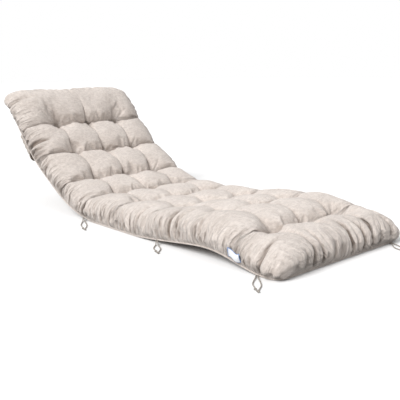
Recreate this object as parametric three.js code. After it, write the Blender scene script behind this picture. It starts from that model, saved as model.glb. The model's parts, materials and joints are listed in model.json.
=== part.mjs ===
// Sun lounger cushion: one long filled pad, tufted in eight rows of three, bent to a wave with a
// raised back. It carries a slack band across the back, a blank label tab and six pairs of ties.
// Millimetres, +Z up. The head end is at +Y, the foot end at -Y, and the underside rests on z = 0.

import * as THREE from 'three';

// The pad between its seams
const SEAM_WIDTH = 520;
const THICKNESS = 88;
const SEAM_EDGE = 4;
const CORNER_RADIUS = 34;
const EDGE_ROUND = 75;
const EDGE_POWER = 2.3;
const BULGE = 23;

// Where the head seam lies above the ground, and how far it is from the middle of the part
const HEAD_HEIGHT = 379.5;
const HEAD_REACH = 718.5;

// The wave of the underside: distance along it from the head seam, and its slope in degrees there,
// upwards towards the foot. The inner stations are the rows of tufts.
const STATIONS = [
  { place: 'head seam', along: 0, slope: -42.5 },
  { place: 'row 1', along: 175, slope: -47.5 },
  { place: 'row 2', along: 345, slope: -33.5 },
  { place: 'row 3', along: 520, slope: -26.5 },
  { place: 'row 4', along: 683, slope: -8.5 },
  { place: 'row 5', along: 868, slope: 0.5 },
  { place: 'row 6', along: 1058, slope: 5.5 },
  { place: 'row 7', along: 1250, slope: 5 },
  { place: 'row 8', along: 1408, slope: -12.5 },
  { place: 'foot seam', along: 1553, slope: 1 },
];
const LENGTH = STATIONS.at(-1).along;
const ROWS = STATIONS.length - 2;

// Tufting: three columns, and how much of the thickness each channel and each tuft takes away
const COLUMN_PITCH = 130;
const COLUMNS = [-1, 0, 1];
const ROW_DIP = 0.34;
const COLUMN_DIP = 0.1;
const TUFT_DIP = 0.2;
const CHANNEL_SOFTNESS = 0.05;
const SIDE_FADE = 50;
const SIDE_DIP = 0.35;
const DRAW_IN = 0.5;
const UNDER_DIMPLE = 8;
const UNDER_DIMPLE_REACH = 30;

// Stitch that pulls each tuft down
const THREAD = { across: 5, along: 2.6, thick: 2, seat: 3.8 };

// Slack band across the back
const BAND = {
  from: 142,
  to: 262,
  narrowed: 24,
  reach: 258,
  slack: 42,
  rise: 7,
  seat: 0.4,
  thick: 2.4,
  stripes: 24,
  lanes: 4,
};

// Blank label tab on the near side, from a little above the seam to almost half the height
const LABEL = {
  from: 1390,
  to: 1432,
  low: 0.1,
  high: 0.42,
  seat: 0.5,
  thick: 0.8,
  columns: 4,
  lanes: 5,
};

// Ties: two strands of cord from each seam exit, with a stopper knot on each end
const CORD_RADIUS = 1.6;
const CORD_SIDES = 8;
const CORD_STEP = 9;
const KNOT_RADIUS = 3.6;
const SEAT_GAP = 0.3;
const EXIT_STUB = 5;
const STRAND_APART = 6;
const STRAND_BOWS = [
  { gone: 0.2, bow: 0.8, lift: 1.4 },
  { gone: 0.45, bow: 1.6, lift: 0.3 },
  { gone: 0.65, bow: 1.8, lift: 0.3 },
  { gone: 0.85, bow: 1.1, lift: 0.3 },
  { gone: 1, bow: 0.75, lift: 0.3 },
];
const TIES = [
  { name: 'tie_back', along: 683, across: -260, heading: [-0.51, -0.86], long: 138 },
  { name: 'tie_seat', along: 1092, across: -260, heading: [-0.61, -0.79], long: 96 },
  { name: 'tie_foot', along: 1492, across: -260, heading: [-0.73, -0.68], long: 108 },
  { name: 'tie_back_far', along: 683, across: 260, heading: [0.51, -0.86], long: 138 },
  { name: 'tie_seat_far', along: 1092, across: 260, heading: [0.61, -0.79], long: 96 },
  { name: 'tie_foot_far', along: LENGTH, across: 222, heading: [-0.55, -0.84], long: 90 },
];

const fabric = new THREE.MeshStandardMaterial({ color: '#cfc4ba', roughness: 0.92, metalness: 0 });
const bandCloth = new THREE.MeshStandardMaterial({ color: '#c6bbb0', roughness: 0.94, metalness: 0 });
const labelCloth = new THREE.MeshStandardMaterial({ color: '#f0f1f4', roughness: 0.7, metalness: 0 });
const cordYarn = new THREE.MeshStandardMaterial({ color: '#b5aca2', roughness: 0.9, metalness: 0 });
const threadYarn = new THREE.MeshStandardMaterial({ color: '#ddd3c6', roughness: 0.8, metalness: 0 });

// Smooth run of the slope through the stations, in radians
function slopeAt(along) {
  const clamped = THREE.MathUtils.clamp(along, 0, LENGTH);
  const i = Math.min(STATIONS.findLastIndex((s) => s.along <= clamped), STATIONS.length - 2);
  const tangent = (k) => {
    const before = STATIONS[Math.max(k - 1, 0)];
    const after = STATIONS[Math.min(k + 1, STATIONS.length - 1)];
    return (after.slope - before.slope) / (after.along - before.along);
  };
  const [a, b] = [STATIONS[i], STATIONS[i + 1]];
  const span = b.along - a.along;
  const t = (clamped - a.along) / span;
  const slope = (2 * t ** 3 - 3 * t ** 2 + 1) * a.slope
    + (t ** 3 - 2 * t ** 2 + t) * span * tangent(i)
    + (3 * t ** 2 - 2 * t ** 3) * b.slope
    + (t ** 3 - t ** 2) * span * tangent(i + 1);
  return THREE.MathUtils.degToRad(slope);
}

// The underside's curve, traced in millimetre steps from the head seam
function traceUnderside() {
  const points = [{ y: HEAD_REACH, z: HEAD_HEIGHT }];
  for (let along = 0; along < LENGTH; along += 1) {
    const last = points.at(-1);
    const slope = slopeAt(along + 0.5);
    points.push({ y: last.y - Math.cos(slope), z: last.z + Math.sin(slope) });
  }
  return points;
}

const UNDERSIDE = traceUnderside();

// Point of the underside. It is pressed flat where it would dip below the ground.
function undersideAt(along) {
  const clamped = THREE.MathUtils.clamp(along, 0, LENGTH);
  const i = Math.min(Math.floor(clamped), LENGTH - 1);
  const [a, b] = [UNDERSIDE[i], UNDERSIDE[i + 1]];
  const slope = slopeAt(clamped);
  const beyond = along - clamped;
  const y = THREE.MathUtils.lerp(a.y, b.y, clamped - i) - beyond * Math.cos(slope);
  const z = THREE.MathUtils.lerp(a.z, b.z, clamped - i) + beyond * Math.sin(slope);
  return { y, z: Math.max(z, 0), slope };
}

// Place in the part of a point that stands off the underside by height
function place(along, across, height) {
  const { y, z, slope } = undersideAt(along);
  return new THREE.Vector3(across, y + height * Math.sin(slope), z + height * Math.cos(slope));
}

// Depth of a channel, 1 on its line and 0 midway to the next: turns counts the lines
function channel(turns) {
  const low = Math.sqrt(CHANNEL_SOFTNESS);
  const high = (1 + CHANNEL_SOFTNESS ** 2) ** 0.25;
  const rise = (Math.sin(Math.PI * turns) ** 2 + CHANNEL_SOFTNESS ** 2) ** 0.25;
  return 1 - (rise - low) / (high - low);
}

// Number of the row at a distance along the underside, 0 at the head seam
function rowAt(along) {
  const i = STATIONS.findIndex((s) => s.along >= along);
  if (i <= 0) return i === 0 ? 0 : ROWS + 1;
  const [a, b] = [STATIONS[i - 1], STATIONS[i]];
  return i - 1 + (along - a.along) / (b.along - a.along);
}

function rowChannel(along) {
  const row = rowAt(along);
  return row > 0.5 && row < ROWS + 0.5 ? channel(row) : 0;
}

function columnChannel(across) {
  const column = across / COLUMN_PITCH;
  return Math.abs(column) < 1.5 ? channel(column) : 0;
}

// Share of the full height at a distance in from a seam
function edgeRise(distance) {
  const inward = THREE.MathUtils.clamp(1 - distance / EDGE_ROUND, 0, 1);
  return (1 - inward ** EDGE_POWER) ** (1 / EDGE_POWER);
}

// Half the width between the side seams, less at the rounded corners
function halfWidthAt(along) {
  const toEnd = Math.min(along, LENGTH - along);
  if (toEnd >= CORNER_RADIUS) return SEAM_WIDTH / 2;
  return SEAM_WIDTH / 2 - CORNER_RADIUS + Math.sqrt(CORNER_RADIUS ** 2 - (CORNER_RADIUS - toEnd) ** 2);
}

// Point of the top panel, which wraps down the sides to the seams and swells out over them
function topPoint(along, across) {
  const toEnd = Math.min(along, LENGTH - along);
  const toSide = halfWidthAt(along) - Math.abs(across);
  const row = rowChannel(along);
  const column = columnChannel(across);
  const dip = ROW_DIP * row + COLUMN_DIP * column + TUFT_DIP * row * column;
  const fade = THREE.MathUtils.clamp(toSide / SIDE_FADE, SIDE_DIP, 1);
  const filled = edgeRise(toSide) * edgeRise(toEnd) * (1 - dip * fade);
  const height = SEAM_EDGE + (THICKNESS - SEAM_EDGE) * filled;
  const swell = BULGE * Math.sin(Math.PI * Math.min(filled, 1)) ** 0.7 * (1 - DRAW_IN * row);
  const sideSwell = swell * Math.max(0, 1 - toSide / EDGE_ROUND);
  const endSwell = swell * Math.max(0, 1 - toEnd / EDGE_ROUND);
  const towardsFoot = along > LENGTH / 2 ? 1 : -1;
  return place(along + towardsFoot * endSwell, across + Math.sign(across) * sideSwell, height);
}

// Point of the bottom panel, which the tufting pulls in a little
function bottomPoint(along, across) {
  let height = 0;
  for (const station of STATIONS.slice(1, -1)) {
    for (const column of COLUMNS) {
      const far = Math.hypot(along - station.along, across - column * COLUMN_PITCH);
      height += UNDER_DIMPLE * Math.exp(-((far / UNDER_DIMPLE_REACH) ** 2));
    }
  }
  return place(along, across, height > 0.05 ? height : 0);
}

// Distances in from a seam, close together where the side is steep
function edgeSteps(count) {
  const steps = [];
  for (let i = 0; i < count; i += 1) {
    const angle = (i / count) * (Math.PI / 2);
    steps.push(EDGE_ROUND * (1 - Math.cos(angle) ** (2 / EDGE_POWER)));
  }
  return steps;
}

// Distances along the underside at which the pad is cut into sections
function sectionPlaces() {
  const between = [0, 0.05, 0.15, 0.32, 0.5, 0.68, 0.85, 0.95];
  const head = [...edgeSteps(7), EDGE_ROUND, 105, 135, 155, 167];
  const foot = [...edgeSteps(7), EDGE_ROUND, 100, 122, 137].map((inward) => LENGTH - inward);
  const places = [...head];
  for (let row = 1; row < ROWS; row += 1) {
    const [a, b] = [STATIONS[row].along, STATIONS[row + 1].along];
    places.push(...between.map((share) => a + (b - a) * share));
  }
  return [...places, STATIONS[ROWS].along, ...foot.reverse()];
}

// Shares of the half width at which the top panel is sampled, from the near seam to the far one
function topShares() {
  const half = SEAM_WIDTH / 2;
  const nearEdge = edgeSteps(6).map((inward) => -(half - inward) / half);
  const middle = [];
  for (let i = -8; i <= 8; i += 1) middle.push((i * COLUMN_PITCH) / 6 / half);
  return [...nearEdge, ...middle, ...nearEdge.map((share) => -share).reverse()];
}

// Triangles that close the gap between two rows of points which both run from one seam to the other
function closeEnd(upper, lower, points, flip) {
  const faces = [];
  let [i, j] = [0, 0];
  while (i < upper.length - 1 || j < lower.length - 1) {
    const nextUpper = i < upper.length - 1 ? points[upper[i + 1]].x : Infinity;
    const nextLower = j < lower.length - 1 ? points[lower[j + 1]].x : Infinity;
    const third = nextUpper <= nextLower ? upper[i + 1] : lower[j + 1];
    faces.push(flip ? [upper[i], lower[j], third] : [lower[j], upper[i], third]);
    if (nextUpper <= nextLower) i += 1;
    else j += 1;
  }
  return faces;
}

function solid(points, faces) {
  const geometry = new THREE.BufferGeometry();
  geometry.setFromPoints(points);
  geometry.setIndex(faces.flat());
  geometry.computeVertexNormals();
  return geometry;
}

function named(name, geometry, material) {
  const mesh = new THREE.Mesh(geometry, material);
  mesh.name = name;
  return mesh;
}

// The filled pad, as closed loops of points from the head to the foot
function padBody() {
  const shares = topShares();
  const underShares = [];
  for (let i = 6; i >= -6; i -= 1) underShares.push(i / 6);
  const loop = shares.length + underShares.length;
  const points = [];
  const faces = [];
  const places = sectionPlaces();
  for (const along of places) {
    const half = halfWidthAt(along);
    for (const share of shares) points.push(topPoint(along, share * half));
    for (const share of underShares) points.push(bottomPoint(along, share * half));
  }
  for (let i = 0; i < places.length - 1; i += 1) {
    for (let j = 0; j < loop; j += 1) {
      const next = (j + 1) % loop;
      const [a, b, c, d] = [i * loop + j, (i + 1) * loop + j, (i + 1) * loop + next, i * loop + next];
      faces.push([a, b, c], [a, c, d]);
    }
  }
  for (const section of [0, places.length - 1]) {
    const start = section * loop;
    const upper = shares.map((_, j) => start + j);
    const lower = underShares.map((_, j) => start + loop - 1 - j);
    faces.push(...closeEnd(upper, lower, points, section > 0));
  }
  return named('cushion', solid(points, faces), fabric);
}

// A stitch in the bottom of one tuft
function tuftThread(row, column) {
  const { across, along, thick, seat } = THREAD;
  const station = STATIONS[row];
  const pit = topPoint(station.along, column * COLUMN_PITCH);
  const slope = slopeAt(station.along);
  const thread = named(
    `tuft_thread_${row}_${column + 2}`,
    new THREE.BoxGeometry(across, along, thick),
    threadYarn,
  );
  const lift = seat + thick / 2;
  thread.position.set(pit.x, pit.y + lift * Math.sin(slope), pit.z + lift * Math.cos(slope));
  thread.rotation.x = -slope;
  return thread;
}

// Closed sheet between an inner and an outer surface, each a grid of points. pointAt gives the point
// of surface 0 or 1 at two shares, and the outer surface is where the first turns into the second.
function sheet(columns, lanes, pointAt) {
  const points = [];
  const faces = [];
  for (const surface of [0, 1]) {
    for (let i = 0; i <= columns; i += 1) {
      for (let j = 0; j <= lanes; j += 1) points.push(pointAt(i / columns, j / lanes, surface));
    }
  }
  const at = (surface, i, j) => (surface * (columns + 1) + i) * (lanes + 1) + j;
  const quad = (a, b, c, d) => faces.push([a, b, c], [a, c, d]);
  for (let i = 0; i < columns; i += 1) {
    for (let j = 0; j < lanes; j += 1) {
      quad(at(1, i, j), at(1, i + 1, j), at(1, i + 1, j + 1), at(1, i, j + 1));
      quad(at(0, i, j), at(0, i, j + 1), at(0, i + 1, j + 1), at(0, i + 1, j));
    }
    quad(at(0, i, 0), at(0, i + 1, 0), at(1, i + 1, 0), at(1, i, 0));
    quad(at(0, i, lanes), at(1, i, lanes), at(1, i + 1, lanes), at(0, i + 1, lanes));
  }
  for (let j = 0; j < lanes; j += 1) {
    quad(at(0, 0, j), at(1, 0, j), at(1, 0, j + 1), at(0, 0, j + 1));
    quad(at(0, columns, j), at(0, columns, j + 1), at(1, columns, j + 1), at(1, columns, j));
  }
  return solid(points, faces);
}

// The band hangs slack below the back and is gathered to less than its width at both side seams
function backBand() {
  const { from, to, narrowed, reach, slack, rise, seat, thick, stripes, lanes } = BAND;
  const pointAt = (acrossShare, alongShare, surface) => {
    const across = -reach * Math.cos(Math.PI * acrossShare);
    const loose = 1 - Math.exp((Math.abs(across) - reach) / rise);
    const gathered = narrowed * (1 - loose);
    const along = THREE.MathUtils.lerp(from + gathered, to - gathered, alongShare);
    return place(along, across, -(seat + slack * loose + surface * thick));
  };
  return named('back_band', sheet(stripes, lanes, pointAt), bandCloth);
}

// Blank tab that lies against the swelling near side just above the seam
function labelTab() {
  const { from, to, low, high, seat, thick, columns, lanes } = LABEL;
  const sidePoint = (along, rise) => {
    const inward = EDGE_ROUND * (1 - (1 - rise ** EDGE_POWER) ** (1 / EDGE_POWER));
    return topPoint(along, inward - SEAM_WIDTH / 2);
  };
  const pointAt = (alongShare, upShare, surface) => {
    const along = THREE.MathUtils.lerp(from, to, alongShare);
    const rise = THREE.MathUtils.lerp(low, high, upShare);
    const point = sidePoint(along, rise);
    const lengthwise = sidePoint(along + 1, rise).sub(point);
    const upwards = sidePoint(along, rise + 0.01).sub(point);
    const outwards = lengthwise.cross(upwards).normalize();
    return point.addScaledVector(outwards, seat + surface * thick);
  };
  return named('label_tab', sheet(columns, lanes, pointAt), labelCloth);
}

// Route of one strand: a stub straight out of the seam's edge, then over the ground, where it bows
// away from its twin and comes back beside it
function strandRoute(tie, side) {
  const heading = new THREE.Vector3(tie.heading[0], tie.heading[1], 0).normalize();
  const sideways = new THREE.Vector3(-heading.y, heading.x, 0);
  const atFoot = tie.along === LENGTH;
  const outwards = new THREE.Vector3(atFoot ? 0 : Math.sign(tie.across), atFoot ? -1 : 0, 0);
  const seamwards = new THREE.Vector3(-outwards.y, outwards.x, 0);
  const exit = place(tie.along, tie.across, SEAM_EDGE / 2)
    .addScaledVector(outwards, SEAT_GAP)
    .addScaledVector(seamwards, side * STRAND_APART * 0.5);
  const long = side > 0 ? tie.long : tie.long - 3 * KNOT_RADIUS;
  const stub = exit.clone().addScaledVector(outwards, EXIT_STUB);
  const points = [exit, stub];
  for (const { gone, bow, lift } of STRAND_BOWS) {
    const point = stub.clone()
      .addScaledVector(heading, (long - EXIT_STUB) * gone)
      .addScaledVector(sideways, side * (bow - 0.5) * STRAND_APART);
    points.push(point.setZ(CORD_RADIUS + lift));
  }
  return points;
}

function strand(tie, side, letter) {
  const route = new THREE.CatmullRomCurve3(strandRoute(tie, side), false, 'centripetal');
  const section = new THREE.Shape();
  section.absarc(0, 0, CORD_RADIUS, 0, 2 * Math.PI);
  const cord = new THREE.ExtrudeGeometry(section, {
    steps: Math.ceil(route.getLength() / CORD_STEP),
    curveSegments: CORD_SIDES / 2,
    extrudePath: route,
  });
  const knot = new THREE.SphereGeometry(KNOT_RADIUS, 8, 5);
  const knotMesh = named(`${tie.name}_${letter}_knot`, knot, cordYarn);
  const beyond = route.getTangent(1).multiplyScalar(KNOT_RADIUS + SEAT_GAP);
  knotMesh.position.copy(route.getPoint(1)).add(beyond).setZ(KNOT_RADIUS + 0.1);
  return [named(`${tie.name}_${letter}`, cord, cordYarn), knotMesh];
}

const cushion = new THREE.Group();
cushion.add(padBody(), backBand(), labelTab());
for (let row = 1; row <= ROWS; row += 1) {
  for (const column of COLUMNS) cushion.add(tuftThread(row, column));
}
for (const tie of TIES) {
  cushion.add(...strand(tie, 1, 'a'), ...strand(tie, -1, 'b'));
}

export default cushion;
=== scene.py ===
import json
import logging
import math
from collections.abc import Sequence
from dataclasses import dataclass, field
from enum import Enum

import bpy
import numpy as np
from mathutils import Matrix, Vector

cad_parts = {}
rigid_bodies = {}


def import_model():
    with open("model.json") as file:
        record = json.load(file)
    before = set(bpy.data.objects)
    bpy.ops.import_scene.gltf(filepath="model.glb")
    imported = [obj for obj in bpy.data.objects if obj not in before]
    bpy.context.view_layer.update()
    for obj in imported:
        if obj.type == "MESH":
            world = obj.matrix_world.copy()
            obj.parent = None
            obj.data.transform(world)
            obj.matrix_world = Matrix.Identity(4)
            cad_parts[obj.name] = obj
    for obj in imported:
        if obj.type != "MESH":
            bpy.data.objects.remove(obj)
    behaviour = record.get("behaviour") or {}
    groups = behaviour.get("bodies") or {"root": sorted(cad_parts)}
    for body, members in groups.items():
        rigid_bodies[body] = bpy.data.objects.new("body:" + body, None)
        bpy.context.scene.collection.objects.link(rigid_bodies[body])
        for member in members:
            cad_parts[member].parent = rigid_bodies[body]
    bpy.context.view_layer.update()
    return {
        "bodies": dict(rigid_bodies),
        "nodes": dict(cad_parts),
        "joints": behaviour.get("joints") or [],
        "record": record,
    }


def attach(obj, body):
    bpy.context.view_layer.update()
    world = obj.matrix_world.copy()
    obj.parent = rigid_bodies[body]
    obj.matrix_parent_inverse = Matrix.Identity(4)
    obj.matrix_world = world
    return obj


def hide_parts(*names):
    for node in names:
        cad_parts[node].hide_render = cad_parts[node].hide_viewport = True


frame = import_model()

# A sun lounger cushion: a long pad, tufted in eight rows of three and bent to a wave, with gathered
# sides, a slack band across its back, a blank label tab and pairs of ties. Metres, +Z up, head at +Y.

log = logging.getLogger("sun_lounger_cushion")
BODY = "root"
CLOTH_MAP = "cloth"
# Mesh attribute that says where the cover's colour gets painted shade in its creases.
CREASE_SHADE_MASK = "crease"
SIDE_MASK = "side_pleats"
END_MASK = "end_pleats"
WANDER_SEED = 3
LUMP_SEEDS = (5, 9)
FAN_SEED = 31
WELT_SEED = 51
RIPPLE_SEED = 61
TUFT_SEED = 71
CLOTH_SHINE = 0.25
FLOOR_SHINE = 0.1
LEAST_LENGTH = 1e-12
LEAST_SLANT = 1e-3
GROOVE_SOFTNESS = 0.35
ROUTE_STEPS = 24

Array = np.ndarray


class Slot(Enum):
    """Material slots of the record that the pieces are tagged with."""

    COVER = "cover"
    BAND = "band"
    LABEL = "label"
    CORD = "cord"
    THREAD = "thread"


class Edge(Enum):
    """The seams that the top panel is gathered into."""

    NEAR = "near"
    FAR = "far"
    HEAD = "head"
    FOOT = "foot"


def smooth_step(value: Array) -> Array:
    """Ease from 0 to 1 while value goes from 0 to 1.

    Args:
        value: Any array of numbers.

    Returns:
        The eased numbers, held at 0 and 1 outside that range.
    """
    held = np.clip(value, 0.0, 1.0)
    return held * held * (3.0 - 2.0 * held)


def channel(turns: Array, softness: float = 0.05) -> Array:
    """Depth of sewn lines that lie one turn apart.

    Args:
        turns: Place across the lines, a whole number on each line.
        softness: Rounding of the bottom of a line, from 0, sharp, upwards.

    Returns:
        1 on a line, falling steeply beside it to 0 midway to the next.
    """
    low, high = math.sqrt(softness), (1.0 + softness**2) ** 0.25
    rise = (np.sin(np.pi * turns) ** 2 + softness**2) ** 0.25
    return 1.0 - (rise - low) / (high - low)


def soft_noise(across: Array, along: Array, cell: float, seed: int) -> Array:
    """Smooth random swell over a surface.

    Args:
        across: First surface coordinate, in metres.
        along: Second surface coordinate, in metres.
        cell: Distance between neighbouring swells, in metres.
        seed: Seed of the pattern.

    Returns:
        Values from -1 to 1.
    """
    rng = np.random.default_rng(seed)
    u = (across - across.min()) / cell
    v = (along - along.min()) / cell
    grid = rng.uniform(-1.0, 1.0, (int(u.max()) + 3, int(v.max()) + 3))
    i, j = np.floor(u).astype(int), np.floor(v).astype(int)
    a, b = smooth_step(u - i), smooth_step(v - j)
    first = grid[i, j] * (1.0 - a) + grid[i + 1, j] * a
    second = grid[i, j + 1] * (1.0 - a) + grid[i + 1, j + 1] * a
    return first * (1.0 - b) + second * b


def lengths_along(path: Array) -> Array:
    """Distance over a line from its first point to each of its points."""
    return np.concatenate([[0.0], np.cumsum(np.linalg.norm(np.diff(path, axis=0), axis=1))])


def read_along(values: Array, gone: Array, marks: Array) -> Array:
    """Read points or directions off at places along a line.

    Args:
        values: What the line has at its own points, with X, Y and Z in the last axis.
        gone: Distances of those points over the line.
        marks: Distances of the wanted places.

    Returns:
        The values there.
    """
    return np.stack([np.interp(marks, gone, values[:, k]) for k in range(3)], axis=1)


def quad_corners(across: tuple[Array, Array], along: tuple[Array, Array]) -> Array:
    """Lengths of the cloth at the four corners of each face, in the order of its points.

    Args:
        across: Lengths round the piece at each face's first and last side.
        along: Lengths along the piece at its start and end.

    Returns:
        The corners, in the last two axes.
    """
    places = [(across[0], along[0]), (across[1], along[0]), (across[1], along[1]), (across[0], along[1])]
    return np.stack([np.stack(place, axis=-1) for place in places], axis=-2)


@dataclass(frozen=True)
class Wave:
    """The curve of the pad's underside, from the head seam to the foot seam.

    The inner stations are the rows of tufts: their distances along the curve and its slope there, in
    degrees, upwards towards the foot.
    """

    head_reach: float = 0.7185
    head_height: float = 0.3795
    along: tuple[float, ...] = (0.0, 0.175, 0.345, 0.520, 0.683, 0.868, 1.058, 1.250, 1.408, 1.553)
    slope: tuple[float, ...] = (-42.5, -47.5, -33.5, -26.5, -8.5, 0.5, 5.5, 5.0, -12.5, 1.0)
    step: float = 0.001

    @property
    def length(self) -> float:
        """Length of the underside."""
        return self.along[-1]

    @property
    def rows(self) -> tuple[float, ...]:
        """Distances of the tuft rows along the underside."""
        return self.along[1:-1]

    def slope_at(self, along: Array) -> Array:
        """Slope of the underside in radians.

        Args:
            along: Distances from the head seam.

        Returns:
            The slopes, upwards towards the foot.
        """
        knots, slopes = np.array(self.along), np.array(self.slope)
        before = np.concatenate([[0], np.arange(len(knots) - 1)])
        after = np.concatenate([np.arange(1, len(knots)), [len(knots) - 1]])
        tangents = (slopes[after] - slopes[before]) / (knots[after] - knots[before])
        held = np.clip(along, 0.0, self.length)
        i = np.clip(np.searchsorted(knots, held, side="right") - 1, 0, len(knots) - 2)
        span = knots[i + 1] - knots[i]
        t = (held - knots[i]) / span
        blended = (2 * t**3 - 3 * t**2 + 1) * slopes[i] + (3 * t**2 - 2 * t**3) * slopes[i + 1]
        steered = (t**3 - 2 * t**2 + t) * tangents[i] + (t**3 - t**2) * tangents[i + 1]
        return np.radians(blended + steered * span)

    def place(self, along: Array, across: Array, height: Array) -> Array:
        """Points that stand off the underside, which is pressed flat where it would dip below ground.

        Args:
            along: Distances from the head seam along the underside.
            across: Places across the pad, negative on the near side.
            height: Heights square to the underside.

        Returns:
            The points, with X, Y and Z in the last axis.
        """
        along, across, height = np.broadcast_arrays(along, across, height)
        marks = np.arange(0.0, self.length + self.step / 2, self.step)
        middles = self.slope_at(marks[:-1] + self.step / 2)
        reach = self.head_reach - np.concatenate([[0], np.cumsum(np.cos(middles))]) * self.step
        level = self.head_height + np.concatenate([[0], np.cumsum(np.sin(middles))]) * self.step
        held = np.clip(along, 0.0, self.length)
        slope = self.slope_at(held)
        beyond = along - held
        y = np.interp(held, marks, reach) - beyond * np.cos(slope)
        z = np.maximum(np.interp(held, marks, level) + beyond * np.sin(slope), 0.0)
        return np.stack([across, y + height * np.sin(slope), z + height * np.cos(slope)], axis=-1)

    def row_at(self, along: Array) -> Array:
        """Row number at distances along the underside, 0 at the head seam."""
        return np.interp(along, self.along, np.arange(len(self.along)))


@dataclass(frozen=True)
class Gathers:
    """Folds in the top panel where it is gathered into one seam.

    Fields give the shortest and longest distance between folds, their depth, how far they run in from
    the seam, the seed of the pattern, how soft their bottoms are and where the strong ones lie. The
    rest are shares: of the depth in the weakest and strong folds, of the longest reach in the strong
    ones, and of each fold's reach at which it starts to fade. They begin at start, in metres.
    """

    edge: Edge
    apart: tuple[float, float]
    depth: float
    reach: tuple[float, float]
    seed: int
    softness: float
    strong: tuple[float, ...] = ()
    weakest: float = 0.25
    strongest: float = 1.5
    strong_reach: float = 1.25
    fades_from: float = 0.25
    start: float = 0.012

    def lines(self, start: float, end: float) -> tuple[Array, Array, Array]:
        """Places of the folds along their seam, with each fold's own depth and reach.

        Args:
            start: Where the folds begin.
            end: Where they end.

        Returns:
            Places, depth shares and reaches of the folds, in order.
        """
        rng = np.random.default_rng(self.seed)
        places = [start]
        while places[-1] < end:
            places.append(places[-1] + rng.uniform(*self.apart))
        marks = np.array(places)
        for place in self.strong:
            marks[np.abs(marks - place).argmin()] = place
        shares = rng.uniform(self.weakest, 1.0, len(marks))
        reaches = rng.uniform(*self.reach, len(marks))
        for place in self.strong:
            nearest = np.abs(marks - place).argmin()
            shares[nearest] = self.strongest
            reaches[nearest] = self.reach[1] * self.strong_reach
        return np.sort(marks), shares, reaches

    def relief(self, lengthwise: Array, inward: Array) -> Array:
        """Depth of the folds over the panel.

        Args:
            lengthwise: Places along the seam.
            inward: Distances in from the seam over the cloth.

        Returns:
            How far the cloth is drawn in, in metres.
        """
        places, shares, reaches = self.lines(lengthwise.min(), lengthwise.max())
        turns = np.interp(lengthwise, places, np.arange(len(places)))
        nearest = np.clip(np.rint(turns).astype(int), 0, len(places) - 1)
        depth, reach = shares[nearest], reaches[nearest]
        begun = smooth_step(inward / self.start)
        fade = begun * (1.0 - smooth_step((inward / reach - self.fades_from) / (1.0 - self.fades_from)))
        return self.depth * depth * fade * channel(turns, self.softness)


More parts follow.
